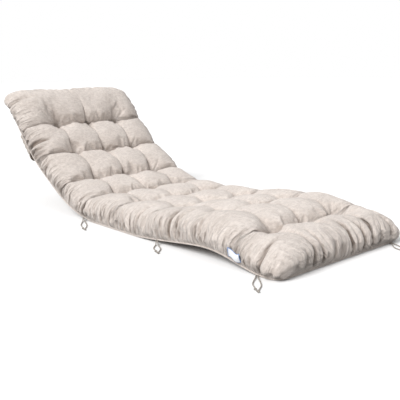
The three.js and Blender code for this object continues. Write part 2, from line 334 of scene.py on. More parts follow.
@dataclass(frozen=True)
class PadForm:
    """The filled pad's own shape: its crown, channels, tufts and swelling sides.

    Dips and strengths are shares of the thickness and of a channel's depth, with a row's strength beyond
    the outer tufts given for the near and far side. Lengths are in metres.
    """

    wave: Wave = field(default_factory=Wave)
    seam_width: float = 0.520
    thickness: float = 0.081
    seam_edge: float = 0.004
    corner_radius: float = 0.034
    edge_round: float = 0.075
    edge_power: float = 2.3
    bulge: float = 0.018
    bulge_power: float = 0.7
    column_pitch: float = 0.130
    columns: tuple[int, ...] = (-1, 0, 1)
    row_dip: float = 0.34
    column_dip: float = 0.14
    tuft_dip: float = 0.11
    row_strength: tuple[float, ...] = (0.86, 0.90, 0.92, 0.92, 0.84, 0.74, 0.74, 0.80)
    near_rows: tuple[float, ...] = (0.9, 1.0, 1.0, 1.0, 0.55, 0.35, 0.35, 0.40)
    far_rows: tuple[float, ...] = (1.0, 1.0, 1.0, 0.9, 0.75, 0.65, 0.60, 0.45)
    outer_span: float = 0.6
    end_span: float = 0.7
    between_tufts: float = 0.7
    at_tufts: float = 0.3
    side_fade: float = 0.050
    side_dip: float = 0.50
    draw_in: float = 0.5
    under_dimple: float = 0.008
    dimple_reach: float = 0.030
    least_dimple: float = 5e-5
    lump_depth: float = 0.0022
    lump_cells: tuple[float, float] = (0.075, 0.028)
    small_lumps: float = 0.45
    fan_depth: float = 0.0038
    fan_creases: tuple[int, int] = (7, 12)
    fan_wobble: float = 0.35
    fan_phase: float = 6.0
    fan_start: float = 0.008
    fan_reach: float = 0.034
    fan_softness: float = 0.15
    pit_depth: float = 0.0065
    pit_reach: float = 0.010

    def half_width(self, along: Array) -> Array:
        """Half the width between the side seams, less at the rounded corners."""
        to_end = np.minimum(along, self.wave.length - along)
        inward = np.clip(self.corner_radius - to_end, 0.0, self.corner_radius)
        cut = self.corner_radius - np.sqrt(self.corner_radius**2 - inward**2)
        return self.seam_width / 2 - cut

    def edge_rise(self, distance: Array) -> Array:
        """Share of the full height at a distance in from a seam."""
        inward = np.clip(1.0 - distance / self.edge_round, 0.0, 1.0)
        return (1.0 - inward**self.edge_power) ** (1.0 / self.edge_power)

    def row_channel(self, along: Array, across: Array) -> Array:
        """Depth of the sewn cross channels, least on the seat and beyond the outer tufts there.

        Args:
            along: Distances along the underside.
            across: Places across it.

        Returns:
            The depths, from 0 to 1.
        """
        row = self.wave.row_at(along)
        inside = (row > 0.5) & (row < len(self.wave.rows) + 0.5)
        nearest = np.clip(np.rint(row).astype(int) - 1, 0, len(self.wave.rows) - 1)
        beyond = smooth_step((np.abs(across) / self.column_pitch - 1.0) / self.outer_span)
        outer = np.where(across < 0, np.array(self.near_rows)[nearest], np.array(self.far_rows)[nearest])
        kept = 1.0 - beyond * (1.0 - outer)
        return np.where(inside, channel(row), 0.0) * kept * np.array(self.row_strength)[nearest]

    def column_channel(self, along: Array, across: Array) -> Array:
        """Depth of the lengthwise valleys: deepest at the tufts, faint towards head and foot."""
        column = across / self.column_pitch
        row = self.wave.row_at(along)
        beyond = np.maximum(1.0 - row, row - len(self.wave.rows))
        inner = self.between_tufts + self.at_tufts * np.cos(np.pi * row) ** 2
        strength = np.where(beyond > 0, 1.0 - smooth_step(beyond / self.end_span), inner)
        outermost = max(self.columns) + 0.5
        return np.where(np.abs(column) < outermost, channel(column), 0.0) * strength

    def top(self, along: Array, across: Array) -> Array:
        """Points of the top panel, which wraps down the sides and swells out over the seams.

        Args:
            along: Distances along the underside.
            across: Places across it.

        Returns:
            The points of the smooth panel, without gathers.
        """
        to_end = np.minimum(along, self.wave.length - along)
        to_side = self.half_width(along) - np.abs(across)
        row, column = self.row_channel(along, across), self.column_channel(along, across)
        dip = self.row_dip * row + self.column_dip * column + self.tuft_dip * np.sqrt(row) * column
        fade = np.clip(to_side / self.side_fade, self.side_dip, 1.0)
        filled = self.edge_rise(to_side) * self.edge_rise(to_end) * (1.0 - dip * fade)
        height = self.seam_edge + (self.thickness - self.seam_edge) * filled
        round_share = np.sin(np.pi * np.clip(filled, 0.0, 1.0))
        swell = self.bulge * np.maximum(round_share, 0.0) ** self.bulge_power * (1.0 - self.draw_in * row)
        side_swell = swell * np.clip(1.0 - to_side / self.edge_round, 0.0, 1.0)
        end_swell = swell * np.clip(1.0 - to_end / self.edge_round, 0.0, 1.0)
        to_foot = np.where(along > self.wave.length / 2, 1.0, -1.0)
        return self.wave.place(along + to_foot * end_swell, across + np.sign(across) * side_swell, height)

    def under(self, along: Array, across: Array) -> Array:
        """Points of the bottom panel, which the tufting pulls in a little.

        Args:
            along: Distances along the underside.
            across: Places across it.

        Returns:
            The points of the panel.
        """
        height = np.zeros(np.broadcast_shapes(along.shape, across.shape))
        for row in self.wave.rows:
            for column in self.columns:
                far = np.hypot(along - row, across - column * self.column_pitch)
                height = height + self.under_dimple * np.exp(-((far / self.dimple_reach) ** 2))
        return self.wave.place(along, across, np.where(height > self.least_dimple, height, 0.0))

    def tuft_fans(self, along: Array, across: Array) -> Array:
        """Depth of every tuft's own pit and of the short creases that fan out from it.

        Args:
            along: Distances along the underside.
            across: Places across it.

        Returns:
            How far the cloth is drawn in, in metres.
        """
        depth = np.zeros(np.broadcast_shapes(along.shape, across.shape))
        rng = np.random.default_rng(FAN_SEED)
        for row in self.wave.rows:
            for column in self.columns:
                d_along, d_across = along - row, across - column * self.column_pitch
                far = np.hypot(d_along, d_across)
                angle = np.arctan2(d_along, d_across)
                count = rng.integers(*self.fan_creases)
                wobble = self.fan_wobble * np.sin(2.0 * angle + rng.uniform(0, self.fan_phase))
                turns = count * (angle + wobble) / (2 * np.pi) + rng.uniform()
                ring = smooth_step(far / self.fan_start) * np.exp(-((far / self.fan_reach) ** 2))
                pit = self.pit_depth * np.exp(-((far / self.pit_reach) ** 2))
                depth = depth + self.fan_depth * ring * channel(turns, self.fan_softness) + pit
        return depth

    def lumps(self, along: Array, across: Array) -> Array:
        """Swell of the uneven filling under the cloth, in metres."""
        broad, small = (soft_noise(across, along, *look) for look in zip(self.lump_cells, LUMP_SEEDS))
        return self.lump_depth * (broad + self.small_lumps * small)


@dataclass
class MeshPiece:
    """A mesh made of shared points and faces, turned into an object that rides on the part."""

    name: str
    points: Array
    faces: Sequence[Sequence[int]]
    slot: Slot
    replaces: Sequence[str] = ()

    def make(self, material: bpy.types.Material) -> bpy.types.Object:
        """Make the object, give it its material and tie it to the part.

        Args:
            material: Finish of the piece.

        Returns:
            The new object.
        """
        mesh = bpy.data.meshes.new(self.name)
        mesh.from_pydata(self.points.tolist(), [], [list(map(int, f)) for f in self.faces])
        mesh.materials.append(material)
        mesh.polygons.foreach_set("use_smooth", [True] * len(mesh.polygons))
        mesh.update()
        piece = bpy.data.objects.new(self.name, mesh)
        bpy.context.scene.collection.objects.link(piece)
        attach(piece, BODY)
        if self.replaces:
            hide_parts(*self.replaces)
        return piece


def add_cloth_map(mesh: bpy.types.Mesh, corners: Array | Sequence = ()) -> None:
    """Lay the cloth's own lengths over a mesh, in metres, for its weave and pile.

    Args:
        mesh: The mesh.
        corners: Across and along lengths of the first face corners, in the order of the mesh's loops.
            The rest stay at 0.
    """
    lengths = np.zeros((len(mesh.loops), 2), dtype=np.float32)
    given = np.reshape(corners, (-1, 2))
    lengths[:len(given)] = given
    mesh.uv_layers.new(name=CLOTH_MAP).data.foreach_set("uv", lengths.ravel())


def tube_points(path: Array, radius: Array, sides: int, twist: float = 0.0, lobes: int = 0,
                lobe_depth: float = 0.0) -> tuple[Array, list[list[int]]]:
    """Sweep a round or lobed section along a path and close both ends.

    Args:
        path: Points of the centreline.
        radius: Radius at each of them.
        sides: Points in the section.
        twist: Turns of the lobes for each metre.
        lobes: Strands that show in the section, 0 for a plain tube.
        lobe_depth: Share of the radius that the grooves between strands take away.

    Returns:
        The points and the faces.
    """
    tangents = np.gradient(path, axis=0)
    tangents /= np.linalg.norm(tangents, axis=1, keepdims=True)
    normal = np.cross(tangents[0], (0.0, 0.0, 1.0))
    if np.linalg.norm(normal) < LEAST_SLANT:
        normal = np.cross(tangents[0], (1.0, 0.0, 0.0))
    gone = lengths_along(path)
    angles = np.arange(sides) / sides * 2 * np.pi
    rings = []
    for i, tangent in enumerate(tangents):
        normal = normal - tangent * np.dot(normal, tangent)
        normal /= np.linalg.norm(normal)
        side = np.cross(tangent, normal)
        groove = 0.0
        if lobes:
            groove = lobe_depth * channel((angles / (2 * np.pi)) * lobes + gone[i] * twist, GROOVE_SOFTNESS)
        reach = radius[i] * (1.0 - groove) * np.ones(sides)
        spokes = np.cos(angles)[:, None] * normal + np.sin(angles)[:, None] * side
        rings.append(path[i] + reach[:, None] * spokes)
    count = len(rings)
    faces = []
    for i in range(count - 1):
        for j in range(sides):
            k = (j + 1) % sides
            faces.append([i * sides + j, i * sides + k, (i + 1) * sides + k, (i + 1) * sides + j])
    faces.append(list(range(sides))[::-1])
    faces.append([(count - 1) * sides + j for j in range(sides)])
    return np.concatenate(rings), faces


def smooth_route(points: Array, count: int) -> Array:
    """Smooth curve through a few points, as centripetal Catmull-Rom, evenly spaced.

    Args:
        points: The points that it goes through.
        count: Points of the result.

    Returns:
        The points of the curve.
    """
    first, last = 2 * points[0] - points[1], 2 * points[-1] - points[-2]
    knots = np.vstack([first, points, last])
    curve = []
    for i in range(1, len(knots) - 2):
        p0, p1, p2, p3 = knots[i - 1:i + 3]
        t0 = 0.0
        t1 = math.sqrt(np.linalg.norm(p1 - p0))
        t2 = t1 + math.sqrt(np.linalg.norm(p2 - p1))
        t3 = t2 + math.sqrt(np.linalg.norm(p3 - p2))
        for t in np.linspace(t1, t2, ROUTE_STEPS, endpoint=i == len(knots) - 3):
            a1 = (t1 - t) / (t1 - t0) * p0 + (t - t0) / (t1 - t0) * p1
            a2 = (t2 - t) / (t2 - t1) * p1 + (t - t1) / (t2 - t1) * p2
            a3 = (t3 - t) / (t3 - t2) * p2 + (t - t2) / (t3 - t2) * p3
            b1 = (t2 - t) / (t2 - t0) * a1 + (t - t0) / (t2 - t0) * a2
            b2 = (t3 - t) / (t3 - t1) * a2 + (t - t1) / (t3 - t1) * a3
            curve.append((t2 - t) / (t2 - t1) * b1 + (t - t1) / (t2 - t1) * b2)
    dense = np.array(curve)
    gone = lengths_along(dense)
    return read_along(dense, gone, np.linspace(0.0, gone[-1], count))


@dataclass(frozen=True)
class Grain:
    """Look of one layer of noise: its cells for each metre of cloth, and how rough and bent they are.

    Without along, the cells are as many along the cloth as across it.
    """

    across: float
    along: float = 0.0
    detail: float = 2.0
    roughness: float = 0.5
    distortion: float = 0.0


class NodeSheet:
    """Short ways to place shader nodes and join their sockets."""

    def __init__(self, tree: bpy.types.NodeTree) -> None:
        """Keep the tree that nodes are added to."""
        self.tree = tree

    def add(self, kind: str, inputs: dict[str | int, object] | None = None,
            **settings: object) -> bpy.types.Node:
        """Add a node.

        Args:
            kind: Node type.
            inputs: Values of its sockets, or sockets to join to them.
            settings: Values of its own properties.

        Returns:
            The node.
        """
        node = self.tree.nodes.new(kind)
        for name, value in settings.items():
            setattr(node, name, value)
        for name, value in (inputs or {}).items():
            if isinstance(value, bpy.types.NodeSocket):
                self.tree.links.new(value, node.inputs[name])
            else:
                node.inputs[name].default_value = value
        return node

    def math(self, operation: str, *values: object) -> bpy.types.NodeSocket:
        """Work out one number from others.

        Args:
            operation: Blender's name of the operation.
            values: Numbers or sockets.

        Returns:
            The socket of the result.
        """
        node = self.add("ShaderNodeMath", dict(enumerate(values)), operation=operation)
        return node.outputs[0]

    def times(self, first: object, second: object) -> bpy.types.NodeSocket:
        """Multiply two numbers or sockets."""
        return self.math("MULTIPLY", first, second)

    def plus(self, first: object, second: object) -> bpy.types.NodeSocket:
        """Add two numbers or sockets."""
        return self.math("ADD", first, second)

    def less(self, first: object, second: object) -> bpy.types.NodeSocket:
        """Take the second number or socket from the first."""
        return self.math("SUBTRACT", first, second)

    def mix(self, factor: object, first: object, second: object) -> bpy.types.NodeSocket:
        """Mix two colours.

        Args:
            factor: Share of the second, a number or a socket.
            first: Colour or socket.
            second: Colour or socket.

        Returns:
            The socket of the mixed colour.
        """
        node = self.add("ShaderNodeMix", {0: factor, 6: first, 7: second}, data_type="RGBA")
        return node.outputs[2]

    def noise(self, cloth: bpy.types.NodeSocket, grain: "Grain") -> bpy.types.NodeSocket:
        """Read one layer of noise over the cloth, from 0 to 1.

        Args:
            cloth: Socket of the cloth's lengths.
            grain: The noise's own look.

        Returns:
            The socket of the noise.
        """
        place, scale = cloth, grain.across
        if grain.along:
            stretch = (grain.across, grain.along, 1.0)
            place, scale = self.add("ShaderNodeMapping", {"Vector": cloth, "Scale": stretch}).outputs[0], 1.0
        values = {"Vector": place, "Scale": scale, "Detail": grain.detail, "Roughness": grain.roughness,
                  "Distortion": grain.distortion}
        return self.add("ShaderNodeTexNoise", values).outputs[0]

    def mask(self, name: str) -> bpy.types.NodeSocket:
        """Read a mask that the mesh carries at its points."""
        return self.add("ShaderNodeAttribute", attribute_name=name).outputs["Fac"]

    def spread(self, value: object, low: float, high: float, to_low: float = 0.0,
               to_high: float = 1.0) -> bpy.types.NodeSocket:
        """Stretch a range of values over another, held at its ends.

        Args:
            value: Number or socket.
            low: Value that becomes to_low.
            high: Value that becomes to_high.
            to_low: Lowest result.
            to_high: Highest result.

        Returns:
            The socket of the result.
        """
        node = self.add("ShaderNodeMapRange", {0: value, 1: low, 2: high, 3: to_low, 4: to_high})
        return node.outputs[0]


def shade_group(name: str, inputs: dict[str, tuple[str, object]],
                outputs: dict[str, str]) -> bpy.types.NodeTree:
    """Start a shader node group with named sockets.

    Args:
        name: Name of the group.
        inputs: Socket type and default value of each input.
        outputs: Socket type of each output.

    Returns:
        The group, with its input and output nodes in place.
    """
    group = bpy.data.node_groups.new(name, "ShaderNodeTree")
    for label, (kind, default) in inputs.items():
        socket = group.interface.new_socket(label, in_out="INPUT", socket_type=kind)
        socket.default_value = default
    for label, kind in outputs.items():
        group.interface.new_socket(label, in_out="OUTPUT", socket_type=kind)
    group.nodes.new("NodeGroupInput")
    group.nodes.new("NodeGroupOutput")
    return group


@dataclass(frozen=True)
class PileLook:
    """Layers and shares that make soft ribbed pile: patches of nap, combed streaks, ribs and rumples."""

    patches: Grain = Grain(95.0, detail=5.0, roughness=0.65, distortion=0.6)
    broad: Grain = Grain(11.0)
    streaks: Grain = Grain(70.0, 190.0, detail=4.0, roughness=0.65)
    fuzz: Grain = Grain(1500.0, detail=3.0)
    side_pleats: Grain = Grain(11.0, 118.0, detail=2.5, roughness=0.55, distortion=0.25)
    end_pleats: Grain = Grain(118.0, 11.0, detail=2.5, roughness=0.55, distortion=0.25)
    rumples: Grain = Grain(42.0, 96.0, detail=3.0, roughness=0.6, distortion=0.3)
    rib_wander: float = 1.4
    patch_tone: float = 0.55
    streak_tone: float = 0.45
    broad_tone: float = 0.35
    tone_range: tuple[float, float] = (0.40, 0.60)
    # Shares of painted shade: how far the rib grooves, creases, pleat hollows and rumple folds go towards the
    # painted shade tone.
    groove_shade: float = 0.22
    crease_shade: float = 0.85
    ridge_range: tuple[float, float] = (0.36, 0.54)
    hollow_shade: float = 0.40
    fold_range: tuple[float, float] = (0.0, 0.07)
    fold_shade: float = 0.08
    rib_height: float = 0.5
    streak_height: float = 0.8
    patch_height: float = 0.9
    rough_range: tuple[float, float, float, float] = (0.3, 0.7, 0.82, 0.98)

    def build(self) -> bpy.types.NodeTree:
        """Build the group that gives the pile its colour, roughness and height.

        Returns:
            The group. Its lengths are in metres over the cloth.
        """
        group = shade_group(
            "soft_pile",
            {
                "Light Tone": ("NodeSocketColor", (0.8, 0.8, 0.8, 1.0)),
                "Dark Tone": ("NodeSocketColor", (0.5, 0.5, 0.5, 1.0)),
                # The colour that every painted shade of the pile goes towards.
                "Painted Shade Tone": ("NodeSocketColor", (0.3, 0.3, 0.3, 1.0)),
                "Mottle": ("NodeSocketFloat", 0.5),
                "Rib Pitch": ("NodeSocketFloat", 0.0025),
                "Nap": ("NodeSocketFloat", 0.5),
                "Pleat Depth": ("NodeSocketFloat", 3.6),
                "Rumple": ("NodeSocketFloat", 0.55),
            },
            {"Color": "NodeSocketColor", "Roughness": "NodeSocketFloat", "Height": "NodeSocketFloat"},
        )
        sheet = NodeSheet(group)
        given, result = group.nodes["Group Input"].outputs, group.nodes["Group Output"].inputs
        cloth = sheet.add("ShaderNodeUVMap", uv_map=CLOTH_MAP).outputs[0]
        patches, streaks = sheet.noise(cloth, self.patches), sheet.noise(cloth, self.streaks)
        rib = self.rib(sheet, cloth, patches, given["Rib Pitch"])
        tone = sheet.plus(sheet.times(patches, self.patch_tone), sheet.times(streaks, self.streak_tone))
        broad = sheet.less(sheet.noise(cloth, self.broad), 0.5)
        tone = sheet.spread(sheet.plus(tone, sheet.times(broad, self.broad_tone)), *self.tone_range)
        share = sheet.times(sheet.less(1.0, tone), given["Mottle"])
        colour = sheet.mix(share, given["Light Tone"], given["Dark Tone"])
        # Painted shade: the grooves between the ribs go towards the painted shade tone.
        colour = sheet.mix(sheet.times(sheet.less(1.0, rib), self.groove_shade), colour, given["Painted Shade Tone"])
        # Painted shade: the creases of the crease mask go towards the painted shade tone.
        crease = sheet.times(sheet.mask(CREASE_SHADE_MASK), self.crease_shade)
        colour = sheet.mix(crease, colour, given["Painted Shade Tone"])
        pleats = 0.0
        for name, grain in ((SIDE_MASK, self.side_pleats), (END_MASK, self.end_pleats)):
            mask = sheet.mask(name)
            ridge = sheet.spread(sheet.noise(cloth, grain), *self.ridge_range)
            pleats = sheet.plus(sheet.times(mask, ridge), pleats)
            # The pleats' ridges are a real bump; their hollows get painted shade towards the painted shade
            # tone.
            hollow = sheet.times(mask, sheet.less(1.0, ridge))
            colour = sheet.mix(sheet.times(hollow, self.hollow_shade), colour, given["Painted Shade Tone"])
        # The rumples are a real bump, and their fold lines get painted shade towards the painted shade tone.
        fold = sheet.math("ABSOLUTE", sheet.less(sheet.noise(cloth, self.rumples), 0.5))
        fold = sheet.spread(fold, *self.fold_range)
        colour = sheet.mix(sheet.times(sheet.less(1.0, fold), self.fold_shade), colour, given["Painted Shade Tone"])
        height = sheet.plus(sheet.times(rib, self.rib_height), sheet.times(streaks, self.streak_height))
        height = sheet.plus(height, sheet.times(sheet.noise(cloth, self.fuzz), given["Nap"]))
        height = sheet.plus(height, sheet.times(patches, self.patch_height))
        height = sheet.plus(height, sheet.times(pleats, given["Pleat Depth"]))
        height = sheet.plus(height, sheet.times(fold, given["Rumple"]))
        group.links.new(colour, result["Color"])
        group.links.new(sheet.spread(streaks, *self.rough_range), result["Roughness"])
        group.links.new(height, result["Height"])
        return group

    def rib(self, sheet: NodeSheet, cloth: bpy.types.NodeSocket, patches: bpy.types.NodeSocket,
            pitch: bpy.types.NodeSocket) -> bpy.types.NodeSocket:
        """Height of the fine ribs, which wander with the patches.

        Args:
            sheet: Where the nodes go.
            cloth: Socket of the cloth's lengths.
            patches: Socket of the patches.
            pitch: Socket of the distance between ribs.

        Returns:
            The socket of the height, from 0 to 1.
        """
        across = sheet.add("ShaderNodeSeparateXYZ", {0: cloth}).outputs[0]
        turns = sheet.plus(sheet.math("DIVIDE", across, pitch), sheet.times(patches, self.rib_wander))
        return sheet.math("ABSOLUTE", sheet.math("SINE", sheet.times(turns, math.pi)))


@dataclass(frozen=True)
class WeaveLook:
    """Shares that make a plain weave: dark gaps between yarns, and slubs that show darker."""

    slubs: Grain = Grain(260.0, detail=3.0)
    gap_share: float = 0.5
    slub_range: tuple[float, float, float, float] = (0.35, 0.7, 0.0, 0.35)

    def build(self) -> bpy.types.NodeTree:
        """Build the group that gives a plain weave its colour and height.

        Returns:
            The group. Its lengths are in metres over the cloth.
        """
        group = shade_group(
            "plain_weave",
            {
                "Yarn Tone": ("NodeSocketColor", (0.8, 0.8, 0.8, 1.0)),
                "Gap Tone": ("NodeSocketColor", (0.5, 0.5, 0.5, 1.0)),
                "Yarn Pitch": ("NodeSocketFloat", 0.001),
            },
            {"Color": "NodeSocketColor", "Height": "NodeSocketFloat"},
        )
        sheet = NodeSheet(group)
        given, result = group.nodes["Group Input"].outputs, group.nodes["Group Output"].inputs
        cloth = sheet.add("ShaderNodeUVMap", uv_map=CLOTH_MAP).outputs[0]
        parts = sheet.add("ShaderNodeSeparateXYZ", {0: cloth})
        waves = []
        for part in (parts.outputs[0], parts.outputs[1]):
            turns = sheet.times(sheet.math("DIVIDE", part, given["Yarn Pitch"]), math.pi)
            waves.append(sheet.math("SINE", turns))
        height = sheet.spread(sheet.times(*waves), -1.0, 1.0)
        share = sheet.times(sheet.less(1.0, height), self.gap_share)
        share = sheet.plus(share, sheet.spread(sheet.noise(cloth, self.slubs), *self.slub_range))
        group.links.new(sheet.mix(share, given["Yarn Tone"], given["Gap Tone"]), result["Color"])
        group.links.new(height, result["Height"])
        return group


def cloth_material(name: str, group: bpy.types.NodeTree, cloth: dict[str, object], bump: float,
                   surface: dict[str, float]) -> bpy.types.Material:
    """Build a material from one of the cloth groups, with its height as a bump.

    Args:
        name: Name of the material.
        group: The shared group.
        cloth: Values of the group's sockets.
        bump: How high the cloth's relief is, in metres.
        surface: Values of the surface's own sockets.

    Returns:
        The material.
    """
    material = bpy.data.materials.new(name)
    material.use_nodes = True
    sheet = NodeSheet(material.node_tree)
    shader = material.node_tree.nodes["Principled BSDF"]
    given = sheet.add("ShaderNodeGroup", cloth, node_tree=group).outputs
    relief = sheet.add("ShaderNodeBump", {"Height": given["Height"], "Distance": bump, "Strength": 1.0})
    sheet.tree.links.new(relief.outputs[0], shader.inputs["Normal"])
    sheet.tree.links.new(given["Color"], shader.inputs["Base Color"])
    if "Roughness" in given:
        sheet.tree.links.new(given["Roughness"], shader.inputs["Roughness"])
    for label, value in {**surface, "Specular IOR Level": CLOTH_SHINE}.items():
        shader.inputs[label].default_value = value
    return material


@dataclass(frozen=True)
class PileFinish:
    """Soft ribbed pile cloth, mottled where the nap lies another way, with a faint sheen and painted shade.
    """

    name: str
    light: tuple[float, float, float]
    dark: tuple[float, float, float]
    # Colour of the painted shade in the grooves, creases and hollows.
    painted_shade: tuple[float, float, float]
    mottle: float = 0.5
    rib_pitch: float = 0.0026
    nap: float = 0.6
    bump: float = 0.0016
    sheen: float = 0.35
    sheen_roughness: float = 0.45

    def make(self, pile: bpy.types.NodeTree) -> bpy.types.Material:
        """Build the material with the shared pile group."""
        cloth = {
            "Light Tone": (*self.light, 1.0),
            "Dark Tone": (*self.dark, 1.0),
            "Painted Shade Tone": (*self.painted_shade, 1.0),
            "Mottle": self.mottle,
            "Rib Pitch": self.rib_pitch,
            "Nap": self.nap,
        }
        surface = {"Sheen Weight": self.sheen, "Sheen Roughness": self.sheen_roughness}
        return cloth_material(self.name, pile, cloth, self.bump, surface)


@dataclass(frozen=True)
class WeaveFinish:
    """Plain woven cloth or tape."""

    name: str
    yarn: tuple[float, float, float]
    gap: tuple[float, float, float]
    pitch: float = 0.0011
    bump: float = 0.0003
    roughness: float = 0.85
    sheen: float = 0.1

    def make(self, weave: bpy.types.NodeTree) -> bpy.types.Material:
        """Build the material with the shared weave group."""
        cloth = {"Yarn Tone": (*self.yarn, 1.0), "Gap Tone": (*self.gap, 1.0), "Yarn Pitch": self.pitch}
        surface = {"Roughness": self.roughness, "Sheen Weight": self.sheen}
        return cloth_material(self.name, weave, cloth, self.bump, surface)


@dataclass
class Finishes:
    """Every material of the cushion, built once."""

    cover: bpy.types.Material
    band: bpy.types.Material
    label: bpy.types.Material
    label_border: bpy.types.Material
    cord: bpy.types.Material
    thread: bpy.types.Material

    @classmethod
    def build(cls) -> "Finishes":
        """Build the shared groups and the materials.

        Returns:
            The materials.
        """
        pile, weave = PileLook().build(), WeaveLook().build()
        # The cover's third tone is the colour of its painted shade.
        cover = PileFinish("cover_pile", light=(0.92, 0.83, 0.765), dark=(0.53, 0.455, 0.405),
                           painted_shade=(0.22, 0.165, 0.13))
        band = WeaveFinish("band_weave", yarn=(0.58, 0.52, 0.465), gap=(0.40, 0.35, 0.31))
        label = WeaveFinish("label_weave", yarn=(0.95, 0.96, 0.98), gap=(0.84, 0.87, 0.93), pitch=0.0006,
                            bump=0.0001, roughness=0.6)
        border = WeaveFinish("label_border_weave", yarn=(0.22, 0.36, 0.66), gap=(0.17, 0.28, 0.55),
                             pitch=0.0006, bump=0.0001, roughness=0.6)
        cord = WeaveFinish("tie_yarn", yarn=(0.44, 0.40, 0.36), gap=(0.28, 0.25, 0.22), pitch=0.0009)
        thread = WeaveFinish("tuft_yarn", yarn=(0.80, 0.74, 0.66), gap=(0.60, 0.54, 0.47), pitch=0.0006)
        return cls(
            cover=cover.make(pile),
            band=band.make(weave),
            label=label.make(weave),
            label_border=border.make(weave),
            cord=cord.make(weave),
            thread=thread.make(weave),
        )


@dataclass(frozen=True)
class GridLayout:
    """How many points the pad's mesh has along it and around it."""

    sections: int
    side_points: int
    middle_points: int
    under_points: int

    def edge_steps(self, form: PadForm) -> Array:
        """Distances in from a seam, close together where the side is steep."""
        angle = np.arange(self.side_points) / self.side_points * np.pi / 2
        return form.edge_round * (1.0 - np.cos(angle) ** (2.0 / form.edge_power))

    def spaced(self, low: float, high: float, count: int, marks: Sequence[float]) -> Array:
        """Even steps in which the nearest ones are moved onto marks.

        Args:
            low: First step.
            high: Last step.
            count: Number of steps.
            marks: Values that have to be among them.

        Returns:
            The steps.
        """
        steps = np.linspace(low, high, count)
        for mark in marks:
            steps[np.abs(steps - mark).argmin()] = mark
        return steps

    def along(self, form: PadForm) -> Array:
        """Distances along the underside at which the mesh has a section."""
        length, edge = form.wave.length, form.edge_round
        ends = self.edge_steps(form)
        count = self.sections - 2 * self.side_points
        middle = self.spaced(edge, length - edge, count, form.wave.rows)
        return np.concatenate([ends, middle, (length - ends)[::-1]])

    def shares(self, form: PadForm) -> Array:
        """Shares of the half width at which the top panel has points."""
        half = form.seam_width / 2
        edge = -(half - self.edge_steps(form)) / half
        inner = (half - form.edge_round) / half
        tufts = [column * form.column_pitch / half for column in form.columns]
        middle = self.spaced(-inner, inner, self.middle_points + 1, tufts)
        return np.concatenate([edge, middle, -edge[::-1]])

    def under_shares(self) -> Array:
        """Shares of the half width at which the bottom panel has points, back towards the near side."""
        return np.linspace(1.0, -1.0, self.under_points + 1)


def quad_faces(sections: int, loop: int) -> tuple[list[list[int]], Array]:
    """Join sections of equal loops into a tube.

    Args:
        sections: Number of loops.
        loop: Points in each.

    Returns:
        The faces, and the section and place of each.
    """
    i, j = np.meshgrid(np.arange(sections - 1), np.arange(loop), indexing="ij")
    k = (j + 1) % loop
    quads = np.stack([i * loop + j, (i + 1) * loop + j, (i + 1) * loop + k, i * loop + k], axis=-1)
    return quads.reshape(-1, 4).tolist(), np.stack([i, j], axis=-1).reshape(-1, 2)


def end_faces(grid: Array, top_count: int) -> list[list[int]]:
    """Close both ends of the pad between the edges of its top and bottom panels.

    Args:
        grid: The points, sections by places round them.
        top_count: Points of the top panel in each section.

    Returns:
        The faces.
    """
    sections, loop = grid.shape[:2]
    across = grid.reshape(-1, 3)[:, 0]
    faces = []
    for section in (0, sections - 1):
        upper = [section * loop + n for n in range(top_count)]
        lower = [section * loop + loop - 1 - n for n in range(loop - top_count)]
        a = b = 0
        while a < len(upper) - 1 or b < len(lower) - 1:
            next_upper = across[upper[a + 1]] if a < len(upper) - 1 else math.inf
            next_lower = across[lower[b + 1]] if b < len(lower) - 1 else math.inf
            third = upper[a + 1] if next_upper <= next_lower else lower[b + 1]
            face = [lower[b], upper[a], third]
            faces.append(face if section == 0 else face[::-1])
            if next_upper <= next_lower:
                a += 1
            else:
                b += 1
    return faces


def resample(knots: Array, wanted: Array) -> Array:
    """Weights that carry values from a coarse row of points to a fine one, smoothly.

    Args:
        knots: Places of the coarse points, in order.
        wanted: Places of the fine ones.

    Returns:
        A table of weights, fine points by coarse ones.
    """
    turn = np.interp(wanted, knots, np.arange(len(knots)))
    base = np.clip(np.floor(turn).astype(int), 0, len(knots) - 2)
    t = turn - base
    weights = np.zeros((len(wanted), len(knots)))
    parts = (
        (-1, 0.5 * (-t + 2 * t**2 - t**3)),
        (0, 0.5 * (2 - 5 * t**2 + 3 * t**3)),
        (1, 0.5 * (t + 4 * t**2 - 3 * t**3)),
        (2, 0.5 * (-(t**2) + t**3)),
    )
    for shift, share in parts:
        np.add.at(weights, (np.arange(len(wanted)), np.clip(base + shift, 0, len(knots) - 1)), share)
    return weights


